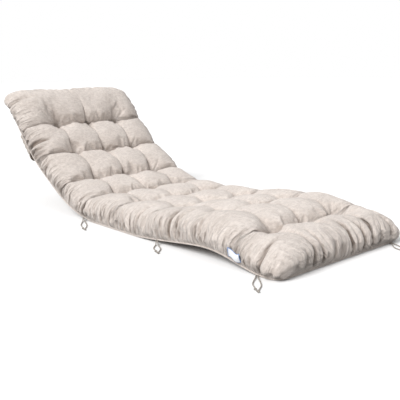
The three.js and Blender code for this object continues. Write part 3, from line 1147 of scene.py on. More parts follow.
@dataclass(frozen=True)
class CoverFill:
    """The cloth run that blows the cover up over its filling and gives it its own creases.

    growth is the share by which the cover is cut too large, and most_moved caps how far any point of
    it may go, in metres. The holds are shares: of a row's stitches, and of those near a side seam.
    """

    layout: GridLayout = GridLayout(sections=226, side_points=9, middle_points=56, under_points=10)
    frames: int = 20
    pressure: float = 3.0
    growth: float = 0.11
    row_hold: float = 0.45
    row_from: float = 0.45
    row_span: float = 0.4
    side_hold: float = 0.35
    inner_hold: float = 0.65
    side_span: float = 0.07
    tuft_radius: float = 0.0055
    most_moved: float = 0.012
    seed_folds: float = 0.5
    quality: int = 6
    mass: float = 0.25
    air_damping: float = 2.0
    stretch_stiffness: float = 12.0
    shear_stiffness: float = 4.0
    bending_stiffness: float = 0.12

    def holds(self, form: PadForm, along: Array, across: Array) -> Array:
        """How firmly each point of the top panel is held: fully at seams and tufts, partly on rows."""
        tufts = np.zeros(along.shape)
        for row in form.wave.rows:
            for column in form.columns:
                far = np.hypot(along - row, across - column * form.column_pitch)
                tufts = np.maximum(tufts, (far < self.tuft_radius).astype(float))
        to_side = form.half_width(along) - np.abs(across)
        sewn = smooth_step((form.row_channel(along, across) - self.row_from) / self.row_span)
        inner = smooth_step(to_side / self.side_span)
        rows = self.row_hold * sewn * (self.side_hold + self.inner_hold * inner)
        held = np.maximum(tufts, rows)
        held[:, [0, -1]] = 1.0
        held[[0, -1], :] = 1.0
        return held

    def run(self, points: Array, faces: list[list[int]], held: Array) -> Array:
        """Run the cloth.

        Args:
            points: Points of the closed cover.
            faces: Its faces.
            held: How firmly each point is held, from 0 to 1.

        Returns:
            How far each point has moved.
        """
        mesh = bpy.data.meshes.new("cover_run")
        mesh.from_pydata(points.tolist(), [], faces)
        cover = bpy.data.objects.new("cover_run", mesh)
        scene = bpy.context.scene
        scene.collection.objects.link(cover)
        group = cover.vertex_groups.new(name="held")
        rounded = np.round(held, 2)
        for weight in np.unique(rounded):
            if weight > 0:
                group.add(np.nonzero(rounded == weight)[0].tolist(), float(weight), "REPLACE")
        cloth = cover.modifiers.new("filling", "CLOTH")
        values = {
            "quality": self.quality,
            "mass": self.mass,
            "air_damping": self.air_damping,
            "tension_stiffness": self.stretch_stiffness,
            "compression_stiffness": self.stretch_stiffness,
            "shear_stiffness": self.shear_stiffness,
            "bending_stiffness": self.bending_stiffness,
            "use_pressure": True,
            "uniform_pressure_force": self.pressure,
            "shrink_min": -self.growth,
            "vertex_group_mass": group.name,
        }
        for label, value in values.items():
            setattr(cloth.settings, label, value)
        cloth.settings.effector_weights.gravity = 0.0
        cloth.point_cache.frame_start = 1
        cloth.point_cache.frame_end = self.frames
        for frame in range(1, self.frames + 1):
            scene.frame_set(frame)
        shaped = cover.evaluated_get(bpy.context.evaluated_depsgraph_get()).data
        ended = np.empty(len(points) * 3)
        shaped.vertices.foreach_get("co", ended)
        scene.frame_set(1)
        bpy.data.objects.remove(cover)
        bpy.data.meshes.remove(mesh)
        moved = ended.reshape(-1, 3) - points
        far = np.linalg.norm(moved, axis=1, keepdims=True)
        return moved * np.minimum(1.0, self.most_moved / np.maximum(far, 1e-9))


@dataclass(frozen=True)
class CreaseShade:
    """How dark the painted shade in the sewn channels and the gathers' hollows is, as shares of its tone."""

    row_valley: float = 0.22
    row_line: float = 0.62
    column_valley: float = 0.08
    column_line: float = 0.38
    valley_power: float = 3
    line_width: float = 0.0045
    darkest_sewn: float = 0.75
    gathered: float = 0.95
    gathered_power: float = 2.5
    deepest_fold: float = 0.0062


@dataclass
class PadCushion:
    """The filled pad: a fine closed mesh of the form, blown up as cloth and gathered into its seams.

    Lengths are in metres: how far the pleats run in, how the folds lean and wander over the cloth, and
    how far from a seam each effect starts.
    """

    form: PadForm = field(default_factory=PadForm)
    layout: GridLayout = GridLayout(sections=430, side_points=34, middle_points=112, under_points=36)
    filling: CoverFill = field(default_factory=CoverFill)
    tone: CreaseShade = CreaseShade()
    pleats_reach: float = 0.150
    lean: float = 0.020
    lean_start: float = 0.1
    most_lean: float = 1.5
    wander: float = 0.006
    wander_cell: float = 0.05
    wander_start: float = 0.05
    end_clear: tuple[float, float] = (0.005, 0.05)
    side_clear: tuple[float, float] = (0.02, 0.07)
    lump_start: float = 0.03
    gathers: tuple[Gathers, ...] = (
        Gathers(Edge.NEAR, (0.019, 0.031), 0.0076, (0.075, 0.145), 11, 0.04,
                (0.060, 0.262, 0.683, 0.985, 1.15, 1.18, 1.27, 1.495)),
        Gathers(Edge.NEAR, (0.009, 0.014), 0.0034, (0.045, 0.100), 12, 0.05),
        Gathers(Edge.FAR, (0.019, 0.031), 0.0076, (0.075, 0.145), 13, 0.04),
        Gathers(Edge.FAR, (0.010, 0.016), 0.0030, (0.045, 0.100), 14, 0.06),
        Gathers(Edge.FOOT, (0.024, 0.040), 0.0060, (0.070, 0.140), 15, 0.04,
                (-0.13, -0.095, 0.035, 0.085, 0.125, 0.2)),
        Gathers(Edge.FOOT, (0.010, 0.016), 0.0024, (0.040, 0.090), 16, 0.06),
        Gathers(Edge.HEAD, (0.024, 0.042), 0.0045, (0.040, 0.100), 17, 0.06),
        Gathers(Edge.HEAD, (0.010, 0.016), 0.0020, (0.030, 0.070), 18, 0.06),
    )
    top: Array = field(init=False)

    def seam_distances(self, points: Array) -> dict[Edge, Array]:
        """Distances over the cloth from each seam to every point of the top panel."""
        from_near = np.pad(np.linalg.norm(np.diff(points, axis=1), axis=2).cumsum(axis=1), ((0, 0), (1, 0)))
        from_head = np.pad(np.linalg.norm(np.diff(points, axis=0), axis=2).cumsum(axis=0), ((1, 0), (0, 0)))
        return {
            Edge.NEAR: from_near,
            Edge.FAR: from_near[:, -1:] - from_near,
            Edge.HEAD: from_head,
            Edge.FOOT: from_head[-1:] - from_head,
        }

    def relief(self, along: Array, across: Array, points: Array) -> Array:
        """How far the gathers, fans and lumps move the top panel inwards.

        Args:
            along: Distances along the underside.
            across: Places across it.
            points: Points of the smooth panel.

        Returns:
            Depths in metres.
        """
        form = self.form
        inwards = self.seam_distances(points)
        to_sides = np.minimum(inwards[Edge.NEAR], inwards[Edge.FAR])
        to_ends = np.minimum(inwards[Edge.HEAD], inwards[Edge.FOOT])
        rows = form.wave.row_at(along)
        lean = self.lean * np.sin(2 * np.pi * rows) * (rows > 0.5) * (rows < len(form.wave.rows) + 0.5)
        ends_clear = smooth_step((to_ends - self.end_clear[0]) / self.end_clear[1])
        sides_clear = smooth_step((to_sides - self.side_clear[0]) / self.side_clear[1])
        from_seams = smooth_step(np.minimum(to_sides, to_ends) / self.lump_start)
        depth = form.tuft_fans(along, across) - form.lumps(along, across) * from_seams
        wander = self.wander * soft_noise(across, along, self.wander_cell, WANDER_SEED)
        for folds in self.gathers:
            inward = inwards[folds.edge]
            strayed = wander * np.clip(inward / self.wander_start, 0, 1)
            if folds.edge in (Edge.NEAR, Edge.FAR):
                lengthwise = along + lean * np.clip(inward / self.lean_start, 0, self.most_lean) + strayed
                clear = ends_clear
            else:
                lengthwise = across + strayed
                clear = sides_clear
            depth = depth + folds.relief(lengthwise, inward) * clear
        return depth

    def places(self, layout: GridLayout) -> tuple[Array, Array]:
        """Distances along the underside and across it of the top panel's points."""
        along = layout.along(self.form)[:, None] * np.ones(layout.shares(self.form).size)
        across = layout.shares(self.form)[None, :] * self.form.half_width(along)
        return along, across

    def folded(self, layout: GridLayout, top: Array, share: float) -> tuple[Array, Array]:
        """Lay the gathers into the top panel.

        Args:
            layout: Grid of the points.
            top: The panel's points.
            share: Share of the gathers' depth.

        Returns:
            The points, and the depth of the gathers there.
        """
        along, across = self.places(layout)
        normals = np.cross(np.gradient(top, axis=0), np.gradient(top, axis=1))
        normals /= np.maximum(np.linalg.norm(normals, axis=2, keepdims=True), LEAST_LENGTH)
        depth = self.relief(along, across, top)
        return top - normals * (depth * share)[..., None], depth

    def blown(self) -> Array:
        """How far the cloth run moves the fine top panel.

        Returns:
            The moves, on the fine grid of the top panel.
        """
        coarse, fill = self.filling.layout, self.filling
        along, across = self.places(coarse)
        top, _ = self.folded(coarse, self.form.top(along, across), fill.seed_folds)
        grid = np.concatenate([top, self.under_panel(coarse)], axis=1)
        held = np.ones(grid.shape[:2])
        held[:, :top.shape[1]] = fill.holds(self.form, along, across)
        faces, _ = quad_faces(*grid.shape[:2])
        faces = faces + end_faces(grid, top.shape[1])
        moved = fill.run(grid.reshape(-1, 3), faces, held.reshape(-1)).reshape(grid.shape)[:, :top.shape[1]]
        moved = moved + top - self.form.top(along, across)
        lengthwise = resample(coarse.along(self.form), self.layout.along(self.form))
        crosswise = resample(coarse.shares(self.form), self.layout.shares(self.form))
        return np.einsum("ab,bcd,ec->aed", lengthwise, moved, crosswise)

    def under_panel(self, layout: GridLayout) -> Array:
        """Points of the bottom panel."""
        places, shares = layout.along(self.form), layout.under_shares()
        half = self.form.half_width(places)[:, None]
        return self.form.under(places[:, None] * np.ones_like(shares), shares[None, :] * half)

    def crease_shade_mask(self, along: Array, across: Array, depth: Array) -> Array:
        """How much of a crease each point of the top panel lies in, for the painted shade down there.

        Args:
            along: Distances along the underside.
            across: Places across it.
            depth: Depths of the gathers.

        Returns:
            Shares from 0 to 1, highest on thin lines along the channels and in the deepest gathers.
        """
        form, tone = self.form, self.tone
        row, column = form.row_channel(along, across), form.column_channel(along, across)
        to_row = np.min([np.abs(along - place) for place in form.wave.rows], axis=0)
        to_column = np.min([np.abs(across - place * form.column_pitch) for place in form.columns], axis=0)
        row_line = row * np.exp(-((to_row / tone.line_width) ** 2))
        column_line = column * np.exp(-((to_column / tone.line_width) ** 2))
        valleys = tone.row_valley * row**tone.valley_power + tone.column_valley * column**tone.valley_power
        sewn = valleys + tone.row_line * row_line + tone.column_line * column_line
        sewn = np.clip(sewn, 0.0, tone.darkest_sewn)
        folded = (depth - form.tuft_fans(along, across)) / tone.deepest_fold
        gathered = np.clip(folded, 0.0, 1.0) ** tone.gathered_power
        return sewn + tone.gathered * gathered * (1.0 - sewn)

    def shape(self) -> tuple[Array, Array, Array]:
        """Work out the mesh's points section by section.

        Returns:
            The points as a grid of sections by places round them, the cloth's lengths there and the
            crease mask of the top panel.
        """
        form = self.form
        along, across = self.places(self.layout)
        filled = form.top(along, across)
        filled = filled + self.blown()
        self.top, depth = self.folded(self.layout, filled, 1.0)
        # The crease mask places the painted shade in the sewn channels and the deepest gathers.
        mask = self.crease_shade_mask(along, across, depth)
        grid = np.concatenate([self.top, self.under_panel(self.layout)], axis=1)
        grid[..., 2] = np.maximum(grid[..., 2], 0.0)
        around = np.concatenate([grid, grid[:, :1]], axis=1)
        lengths = np.pad(np.linalg.norm(np.diff(around, axis=1), axis=2).cumsum(axis=1), ((0, 0), (1, 0)))
        lengths = lengths - lengths[:, [self.top.shape[1] // 2]]
        return grid, lengths, mask

    def surface(self, along: float, across: float) -> Array:
        """Point of the finished top panel.

        Args:
            along: Distance along the underside.
            across: Place across it.

        Returns:
            The point.
        """
        share = across / self.form.half_width(np.array(along))
        lengthwise = resample(self.layout.along(self.form), np.array([along]))
        crosswise = resample(self.layout.shares(self.form), np.array([share]))
        return np.einsum("ab,bcd,ec->aed", lengthwise, self.top, crosswise)[0, 0]

    def build(self, finishes: Finishes) -> bpy.types.Object:
        """Build the pad and dress it.

        Args:
            finishes: The materials.

        Returns:
            The pad.
        """
        grid, lengths, mask = self.shape()
        walls, cells = quad_faces(*grid.shape[:2])
        faces = walls + end_faces(grid, self.top.shape[1])
        piece = MeshPiece("pad_cushion", grid.reshape(-1, 3), faces, Slot.COVER, ("cushion",))
        pad = piece.make(finishes.cover)
        mesh = pad.data
        places = self.layout.along(self.form)
        i, j = cells[:, 0], cells[:, 1]
        turns = ((0, 0), (1, 0), (1, 1), (0, 1))
        corners = [np.stack([lengths[i + di, j + dj], places[i + di]], axis=-1) for di, dj in turns]
        add_cloth_map(mesh, np.stack(corners, axis=1))
        # The crease mask carries painted shade; the pleat masks carry the pleats' bump and the painted shade
        # of their hollows.
        for name, values in {CREASE_SHADE_MASK: mask, **self.pleat_masks()}.items():
            layer = mesh.attributes.new(name, "FLOAT", "POINT")
            filled = np.pad(values, ((0, 0), (0, grid.shape[1] - values.shape[1])))
            layer.data.foreach_set("value", filled.reshape(-1).astype(np.float32))
        log.info("pad_cushion: %d points, %d faces", len(mesh.vertices), len(mesh.polygons))
        return pad

    def pleat_masks(self) -> dict[str, Array]:
        """Shares of the fine pleats that run in from the sides and from the ends of the top panel."""
        inwards = self.seam_distances(self.top)
        side = 1.0 - smooth_step(np.minimum(inwards[Edge.NEAR], inwards[Edge.FAR]) / self.pleats_reach)
        end = 1.0 - smooth_step(np.minimum(inwards[Edge.HEAD], inwards[Edge.FOOT]) / self.pleats_reach)
        return {SIDE_MASK: side * (1.0 - end), END_MASK: end * (1.0 - side)}


@dataclass(frozen=True)
class Stitches:
    """Rows of short thread stitches that lie on a piece of cloth."""

    pitch: float = 0.0040
    length: float = 0.0026
    radius: float = 0.00035
    sides: int = 5
    marks: tuple[float, ...] = (0.0, 0.2, 0.5, 0.8, 1.0)
    rises: tuple[float, ...] = (-0.6, 0.5, 1.0, 0.5, -0.6)

    def along(self, path: Array, lift: Array) -> tuple[Array, list[list[int]]]:
        """Lay a row of stitches along a line on the cloth.

        Args:
            path: The line.
            lift: Direction away from the cloth, one for the whole line or one for each point.

        Returns:
            The points and the faces.
        """
        gone = lengths_along(path)
        lifts = np.broadcast_to(lift, path.shape)
        parts = []
        for begin in np.arange(0.0, gone[-1] - self.length, self.pitch):
            marks = begin + np.array(self.marks) * self.length
            raised = read_along(lifts, gone, marks) * (np.array(self.rises) * self.radius)[:, None]
            line = read_along(path, gone, marks) + raised
            parts.append(tube_points(line, np.full(len(line), self.radius), self.sides))
        return join_parts(parts)


def join_parts(parts: Sequence[tuple[Array, list[list[int]]]]) -> tuple[Array, list[list[int]]]:
    """Put several lots of points and faces together.

    Args:
        parts: Points and faces of each.

    Returns:
        All the points and faces.
    """
    faces: list[list[int]] = []
    count = 0
    for points, walls in parts:
        faces += [[index + count for index in face] for face in walls]
        count += len(points)
    return np.concatenate([points for points, _ in parts]), faces


def make_thread(name: str, parts: Sequence[tuple[Array, list[list[int]]]], thread: bpy.types.Material,
                replaces: Sequence[str] = ()) -> bpy.types.Object:
    """Make one piece out of lots of thread.

    Args:
        name: Name of the piece.
        parts: Points and faces of each lot.
        thread: The thread's material.
        replaces: Solids that it takes the place of.

    Returns:
        The piece.
    """
    piece = MeshPiece(name, *join_parts(parts), Slot.THREAD, replaces).make(thread)
    add_cloth_map(piece.data)
    return piece


def thin_sheet(front: Array, back: Array) -> tuple[Array, list[list[int]], Array]:
    """Close a thin piece of cloth between its two faces.

    Args:
        front: Grid of points of its front.
        back: The same grid on its back.

    Returns:
        The points, the faces and the grid place of every face corner, front and back and edges.
    """
    rows, columns = front.shape[:2]
    count = rows * columns
    faces: list[list[int]] = []
    for i in range(rows - 1):
        for j in range(columns - 1):
            a, b = i * columns + j, (i + 1) * columns + j
            faces.append([a, b, b + 1, a + 1])
            faces.append([count + a, count + a + 1, count + b + 1, count + b])
    rim = [i * columns for i in range(rows)] + [(rows - 1) * columns + j for j in range(1, columns)]
    rim += [i * columns + columns - 1 for i in range(rows - 2, -1, -1)] + list(range(columns - 2, 0, -1))
    for a, b in zip(rim, rim[1:] + rim[:1]):
        faces.append([b, a, count + a, count + b])
    points = np.concatenate([front.reshape(-1, 3), back.reshape(-1, 3)])
    corners = np.array([index % count for face in faces for index in face])
    return points, faces, np.stack([corners // columns, corners % columns], axis=-1)


@dataclass
class SeamWelt:
    """The narrow roll of cloth that runs all round the pad where its panels are sewn together."""

    form: PadForm
    radius: float = 0.0021
    sides: int = 8
    step: float = 0.0045
    crinkle: float = 0.22
    raised: float = 0.0003
    outset: float = 0.0006
    least_height: float = 0.0001
    side_marks: int = 900
    end_marks: int = 260

    def build(self, finishes: Finishes) -> bpy.types.Object:
        """Build the welt.

        Args:
            finishes: The materials.

        Returns:
            The welt.
        """
        wave, form = self.form.wave, self.form
        along = np.linspace(0.0, wave.length, self.side_marks)
        corner = form.half_width(np.array(0.0))
        across = np.linspace(-corner, corner, self.end_marks)[1:-1]
        sides = form.half_width(along)
        full, none = np.full(across.size, wave.length), np.zeros(across.size)
        places = np.concatenate([along, full, along[::-1], none])
        widths = np.concatenate([-sides, across, sides[::-1], across[::-1]])
        line = wave.place(places, widths, np.array(form.seam_edge / 2 + self.raised))
        closed = np.concatenate([line, line[:1]])
        gone = lengths_along(closed)
        count = int(gone[-1] / self.step)
        even = np.arange(count) / count * gone[-1]
        centre = read_along(closed, gone, even)
        ahead = np.roll(centre, -1, axis=0) - np.roll(centre, 1, axis=0)
        ahead /= np.linalg.norm(ahead, axis=1, keepdims=True)
        slope = wave.slope_at(np.interp(even, gone, np.append(places, places[0])))
        upright = np.stack([0 * slope, np.sin(slope), np.cos(slope)], axis=1)
        outward = np.cross(ahead, upright)
        rng = np.random.default_rng(WELT_SEED)
        size = self.radius * (1.0 - self.crinkle * rng.uniform(0.0, 1.0, count))
        angles = (np.arange(self.sides) / self.sides * 2 * np.pi)[None, :, None]
        spokes = np.cos(angles) * outward[:, None] + np.sin(angles) * upright[:, None]
        rings = centre[:, None] + outward[:, None] * self.outset + size[:, None, None] * spokes
        rings[..., 2] = np.maximum(rings[..., 2], self.least_height)
        i, j = np.meshgrid(np.arange(count), np.arange(self.sides), indexing="ij")
        here, onward, k = i * self.sides, (i + 1) % count * self.sides, (j + 1) % self.sides
        quads = np.stack([here + j, here + k, onward + k, onward + j], axis=-1)
        welt = MeshPiece("seam_welt", rings.reshape(-1, 3), quads.reshape(-1, 4).tolist(), Slot.COVER)
        piece = welt.make(finishes.cover)
        girth = 2 * np.pi * self.radius / self.sides
        corners = quad_corners((j * girth, (j + 1) * girth), (i * self.step, (i + 1) * self.step))
        add_cloth_map(piece.data, corners)
        return piece


@dataclass
class BackBand:
    """The slack band across the back of the head end, hemmed and sewn into both side seams."""

    form: PadForm
    start: float = 0.142
    end: float = 0.262
    narrowed: float = 0.024
    reach: float = 0.258
    slack: float = 0.042
    rise: float = 0.007
    seat: float = 0.0008
    thickness: float = 0.0014
    hem: float = 0.009
    hem_thickness: float = 0.0010
    pucker_depth: float = 0.0030
    pucker_turns: float = 4.5
    pucker_sways: tuple[tuple[float, float], ...] = ((0.35, 23.0), (0.25, 9.0))
    gather_reach: float = 0.045
    ripple_depth: float = 0.0034
    ripple_cell: float = 0.055
    stripes: int = 110
    lanes: int = 32

    def face(self, outer: bool) -> Array:
        """Grid of points of one face of the band.

        Args:
            outer: Whether it is the face turned away from the pad.

        Returns:
            The points, across by along.
        """
        share = np.linspace(0.0, 1.0, self.stripes + 1)[:, None]
        lane = np.linspace(0.0, 1.0, self.lanes + 1)[None, :]
        across = -self.reach * np.cos(np.pi * share)
        loose = 1.0 - np.exp((np.abs(across) - self.reach) / self.rise)
        gathered = self.narrowed * (1.0 - loose)
        along = (self.start + gathered) * (1.0 - lane) + (self.end - gathered) * lane
        gathering = np.exp((np.abs(across) - self.reach) / self.gather_reach) * loose
        turns = self.pucker_turns * lane
        for sway, rate in self.pucker_sways:
            turns = turns + sway * np.sin(rate * across)
        puckers = self.pucker_depth * gathering * np.sin(2 * np.pi * turns)
        everywhere = across + 0 * along
        ripples = self.ripple_depth * soft_noise(everywhere, along, self.ripple_cell, RIPPLE_SEED) * loose
        in_hem = np.minimum(lane, 1.0 - lane) * (self.end - self.start) < self.hem
        depth = self.seat + self.slack * loose + puckers + ripples
        if outer:
            depth = depth + self.thickness + self.hem_thickness * in_hem
        return self.form.wave.place(along, everywhere, -depth)

    def build(self, finishes: Finishes, pad: bpy.types.Object) -> bpy.types.Object:
        """Build the band with its hem stitches.

        Args:
            finishes: The materials.
            pad: The pad that it is sewn to; not used.

        Returns:
            The band.
        """
        front, back = self.face(False), self.face(True)
        points, faces, corners = thin_sheet(front, back)
        band = MeshPiece("back_band_cloth", points, faces, Slot.BAND, ("back_band",)).make(finishes.band)
        middle = front[:, self.lanes // 2]
        gone = lengths_along(middle)
        width = self.end - self.start
        add_cloth_map(band.data, np.stack([gone[corners[:, 0]], corners[:, 1] / self.lanes * width], axis=-1))
        hem_lane = int(self.hem / width * self.lanes)
        slope = float(self.form.wave.slope_at(np.array((self.start + self.end) / 2)))
        away = np.array([0.0, -math.sin(slope), -math.cos(slope)])
        rows = [Stitches().along(back[:, lane], away) for lane in (hem_lane, self.lanes - hem_lane)]
        seams = make_thread("back_band_stitches", rows, finishes.thread)
        return band


@dataclass
class LabelTab:
    """Blank woven label with a plain border, sewn flat on the near side over the seam."""

    form: PadForm
    start: float = 1.390
    end: float = 1.432
    low: float = 0.10
    high: float = 0.42
    height: float = 0.030
    thickness: float = 0.0007
    lift: float = 0.0005
    ridge_share: float = 0.6
    smoothing: int = 3
    columns: int = 24
    lanes: int = 16
    stitches: Stitches = Stitches(pitch=0.0024, length=0.0015, radius=0.00022)

    def surface(self, pad: PadCushion) -> tuple[Array, Array]:
        """Smooth the pad's side under the label and lift it clear of most of the cloth's ridges.

        Args:
            pad: The pad that it lies on.

        Returns:
            The label's back as a grid of points, and the directions away from the pad there.
        """
        form = self.form
        power, edge = form.edge_power, form.edge_round
        u = np.linspace(0.0, 1.0, self.columns + 1)
        v = np.linspace(0.0, 1.0, self.lanes + 1)
        cloth = np.zeros((u.size, v.size, 3))
        for i, place in enumerate(self.start + u * (self.end - self.start)):
            for j, rise in enumerate(self.low + v * (self.high - self.low)):
                inward = edge * (1.0 - (1.0 - rise**power) ** (1.0 / power))
                cloth[i, j] = pad.surface(place, inward - float(form.half_width(np.array(place))))
        a, b = (grid.ravel() for grid in np.meshgrid(u, v, indexing="ij"))
        powers = [(m, n) for m in range(self.smoothing + 1) for n in range(self.smoothing + 1 - m)]
        terms = np.stack([a**m * b**n for m, n in powers], axis=-1)
        fitted, *_ = np.linalg.lstsq(terms, cloth.reshape(-1, 3), rcond=None)
        smooth = (terms @ fitted).reshape(cloth.shape)
        outward = np.cross(np.gradient(smooth, axis=0), np.gradient(smooth, axis=1))
        outward /= np.linalg.norm(outward, axis=2, keepdims=True)
        outward *= -np.sign(outward[..., 0].mean())
        ridge = float(((cloth - smooth) * outward).sum(axis=2).max())
        return smooth + outward * (max(ridge, 0.0) * self.ridge_share + self.lift), outward

    @staticmethod
    def inset_rim(grid: Array) -> Array:
        """Row of a grid's points that runs round it one place in from its edge."""
        return np.concatenate([grid[1:-1, 1], grid[-2, 1:-1], grid[-2:0:-1, -2], grid[1, -2:0:-1]])

    def build(self, finishes: Finishes, pad: PadCushion) -> bpy.types.Object:
        """Lay the label over the pad's side and stitch it round.

        Args:
            finishes: The materials.
            pad: The pad that it lies on.

        Returns:
            The label.
        """
        back, outward = self.surface(pad)
        front = back + outward * self.thickness
        points, faces, corners = thin_sheet(front, back)
        label = MeshPiece("label_tab_cloth", points, faces, Slot.LABEL, ("label_tab",)).make(finishes.label)
        label.data.materials.append(finishes.label_border)
        size = (self.columns, self.lanes)
        add_cloth_map(label.data, corners / size * (self.end - self.start, self.height))
        cells = corners.reshape(-1, 4, 2)
        at_edge = (cells.min(axis=1) < 1) | (cells.max(axis=1) > np.array(size) - 1)
        label.data.polygons.foreach_set("material_index", at_edge.any(axis=1).astype(np.int32))
        seam = self.stitches.along(self.inset_rim(front), self.inset_rim(outward))
        stitches = make_thread("label_tab_stitches", [seam], finishes.thread)
        return label


@dataclass
class TuftStitches:
    """The yarn that shows in the pit of every tuft: a few strands side by side, pulled into the cloth."""

    form: PadForm
    strands: int = 4
    width: float = 0.0056
    spacing: float = 0.00075
    radius: float = 0.00052
    arch: float = 0.0014
    arch_power: float = 2.4
    sunk: float = 0.0004
    most_twist: float = 0.3
    marks: int = 9
    sides: int = 8

    def build(self, finishes: Finishes, pad: PadCushion) -> list[bpy.types.Object]:
        """Build the yarn of every tuft.

        Args:
            finishes: The materials.
            pad: The pad that it is sewn through.

        Returns:
            The pieces, one for each tuft.
        """
        rng = np.random.default_rng(TUFT_SEED)
        t = np.linspace(-1.0, 1.0, self.marks)[:, None]
        tufts = []
        for row, along in enumerate(self.form.wave.rows, 1):
            slope = float(self.form.wave.slope_at(np.array(along)))
            upright = np.array([0.0, math.sin(slope), math.cos(slope)])
            lengthwise = np.array([0.0, -math.cos(slope), math.sin(slope)])
            for number, column in enumerate(self.form.columns, 1):
                centre = pad.surface(along, column * self.form.column_pitch)
                twist = rng.uniform(-self.most_twist, self.most_twist)
                across = np.array([math.cos(twist), 0.0, 0.0]) + lengthwise * math.sin(twist)
                beside = lengthwise * math.cos(twist) - np.array([math.sin(twist), 0.0, 0.0])
                parts = []
                for strand in range(self.strands):
                    shift = (strand - (self.strands - 1) / 2) * self.spacing
                    arch = self.arch * (1.0 - np.abs(t) ** self.arch_power)
                    bend = arch - self.sunk + self.sunk * rng.uniform(-1, 1)
                    line = centre + across * t * self.width / 2 + beside * shift + upright * bend
                    parts.append(tube_points(line, np.full(self.marks, self.radius), self.sides))
                place = f"{row}_{number}"
                tufts.append(make_thread(f"tuft_stitch_{place}", parts, finishes.thread,
                                         (f"tuft_thread_{place}",)))
        return tufts


@dataclass(frozen=True)
class TieRoute:
    """Where one pair of ties leaves the seam and how it lies: the same route as its solid."""

    name: str
    along: float
    across: float
    heading: tuple[float, float]
    long: float


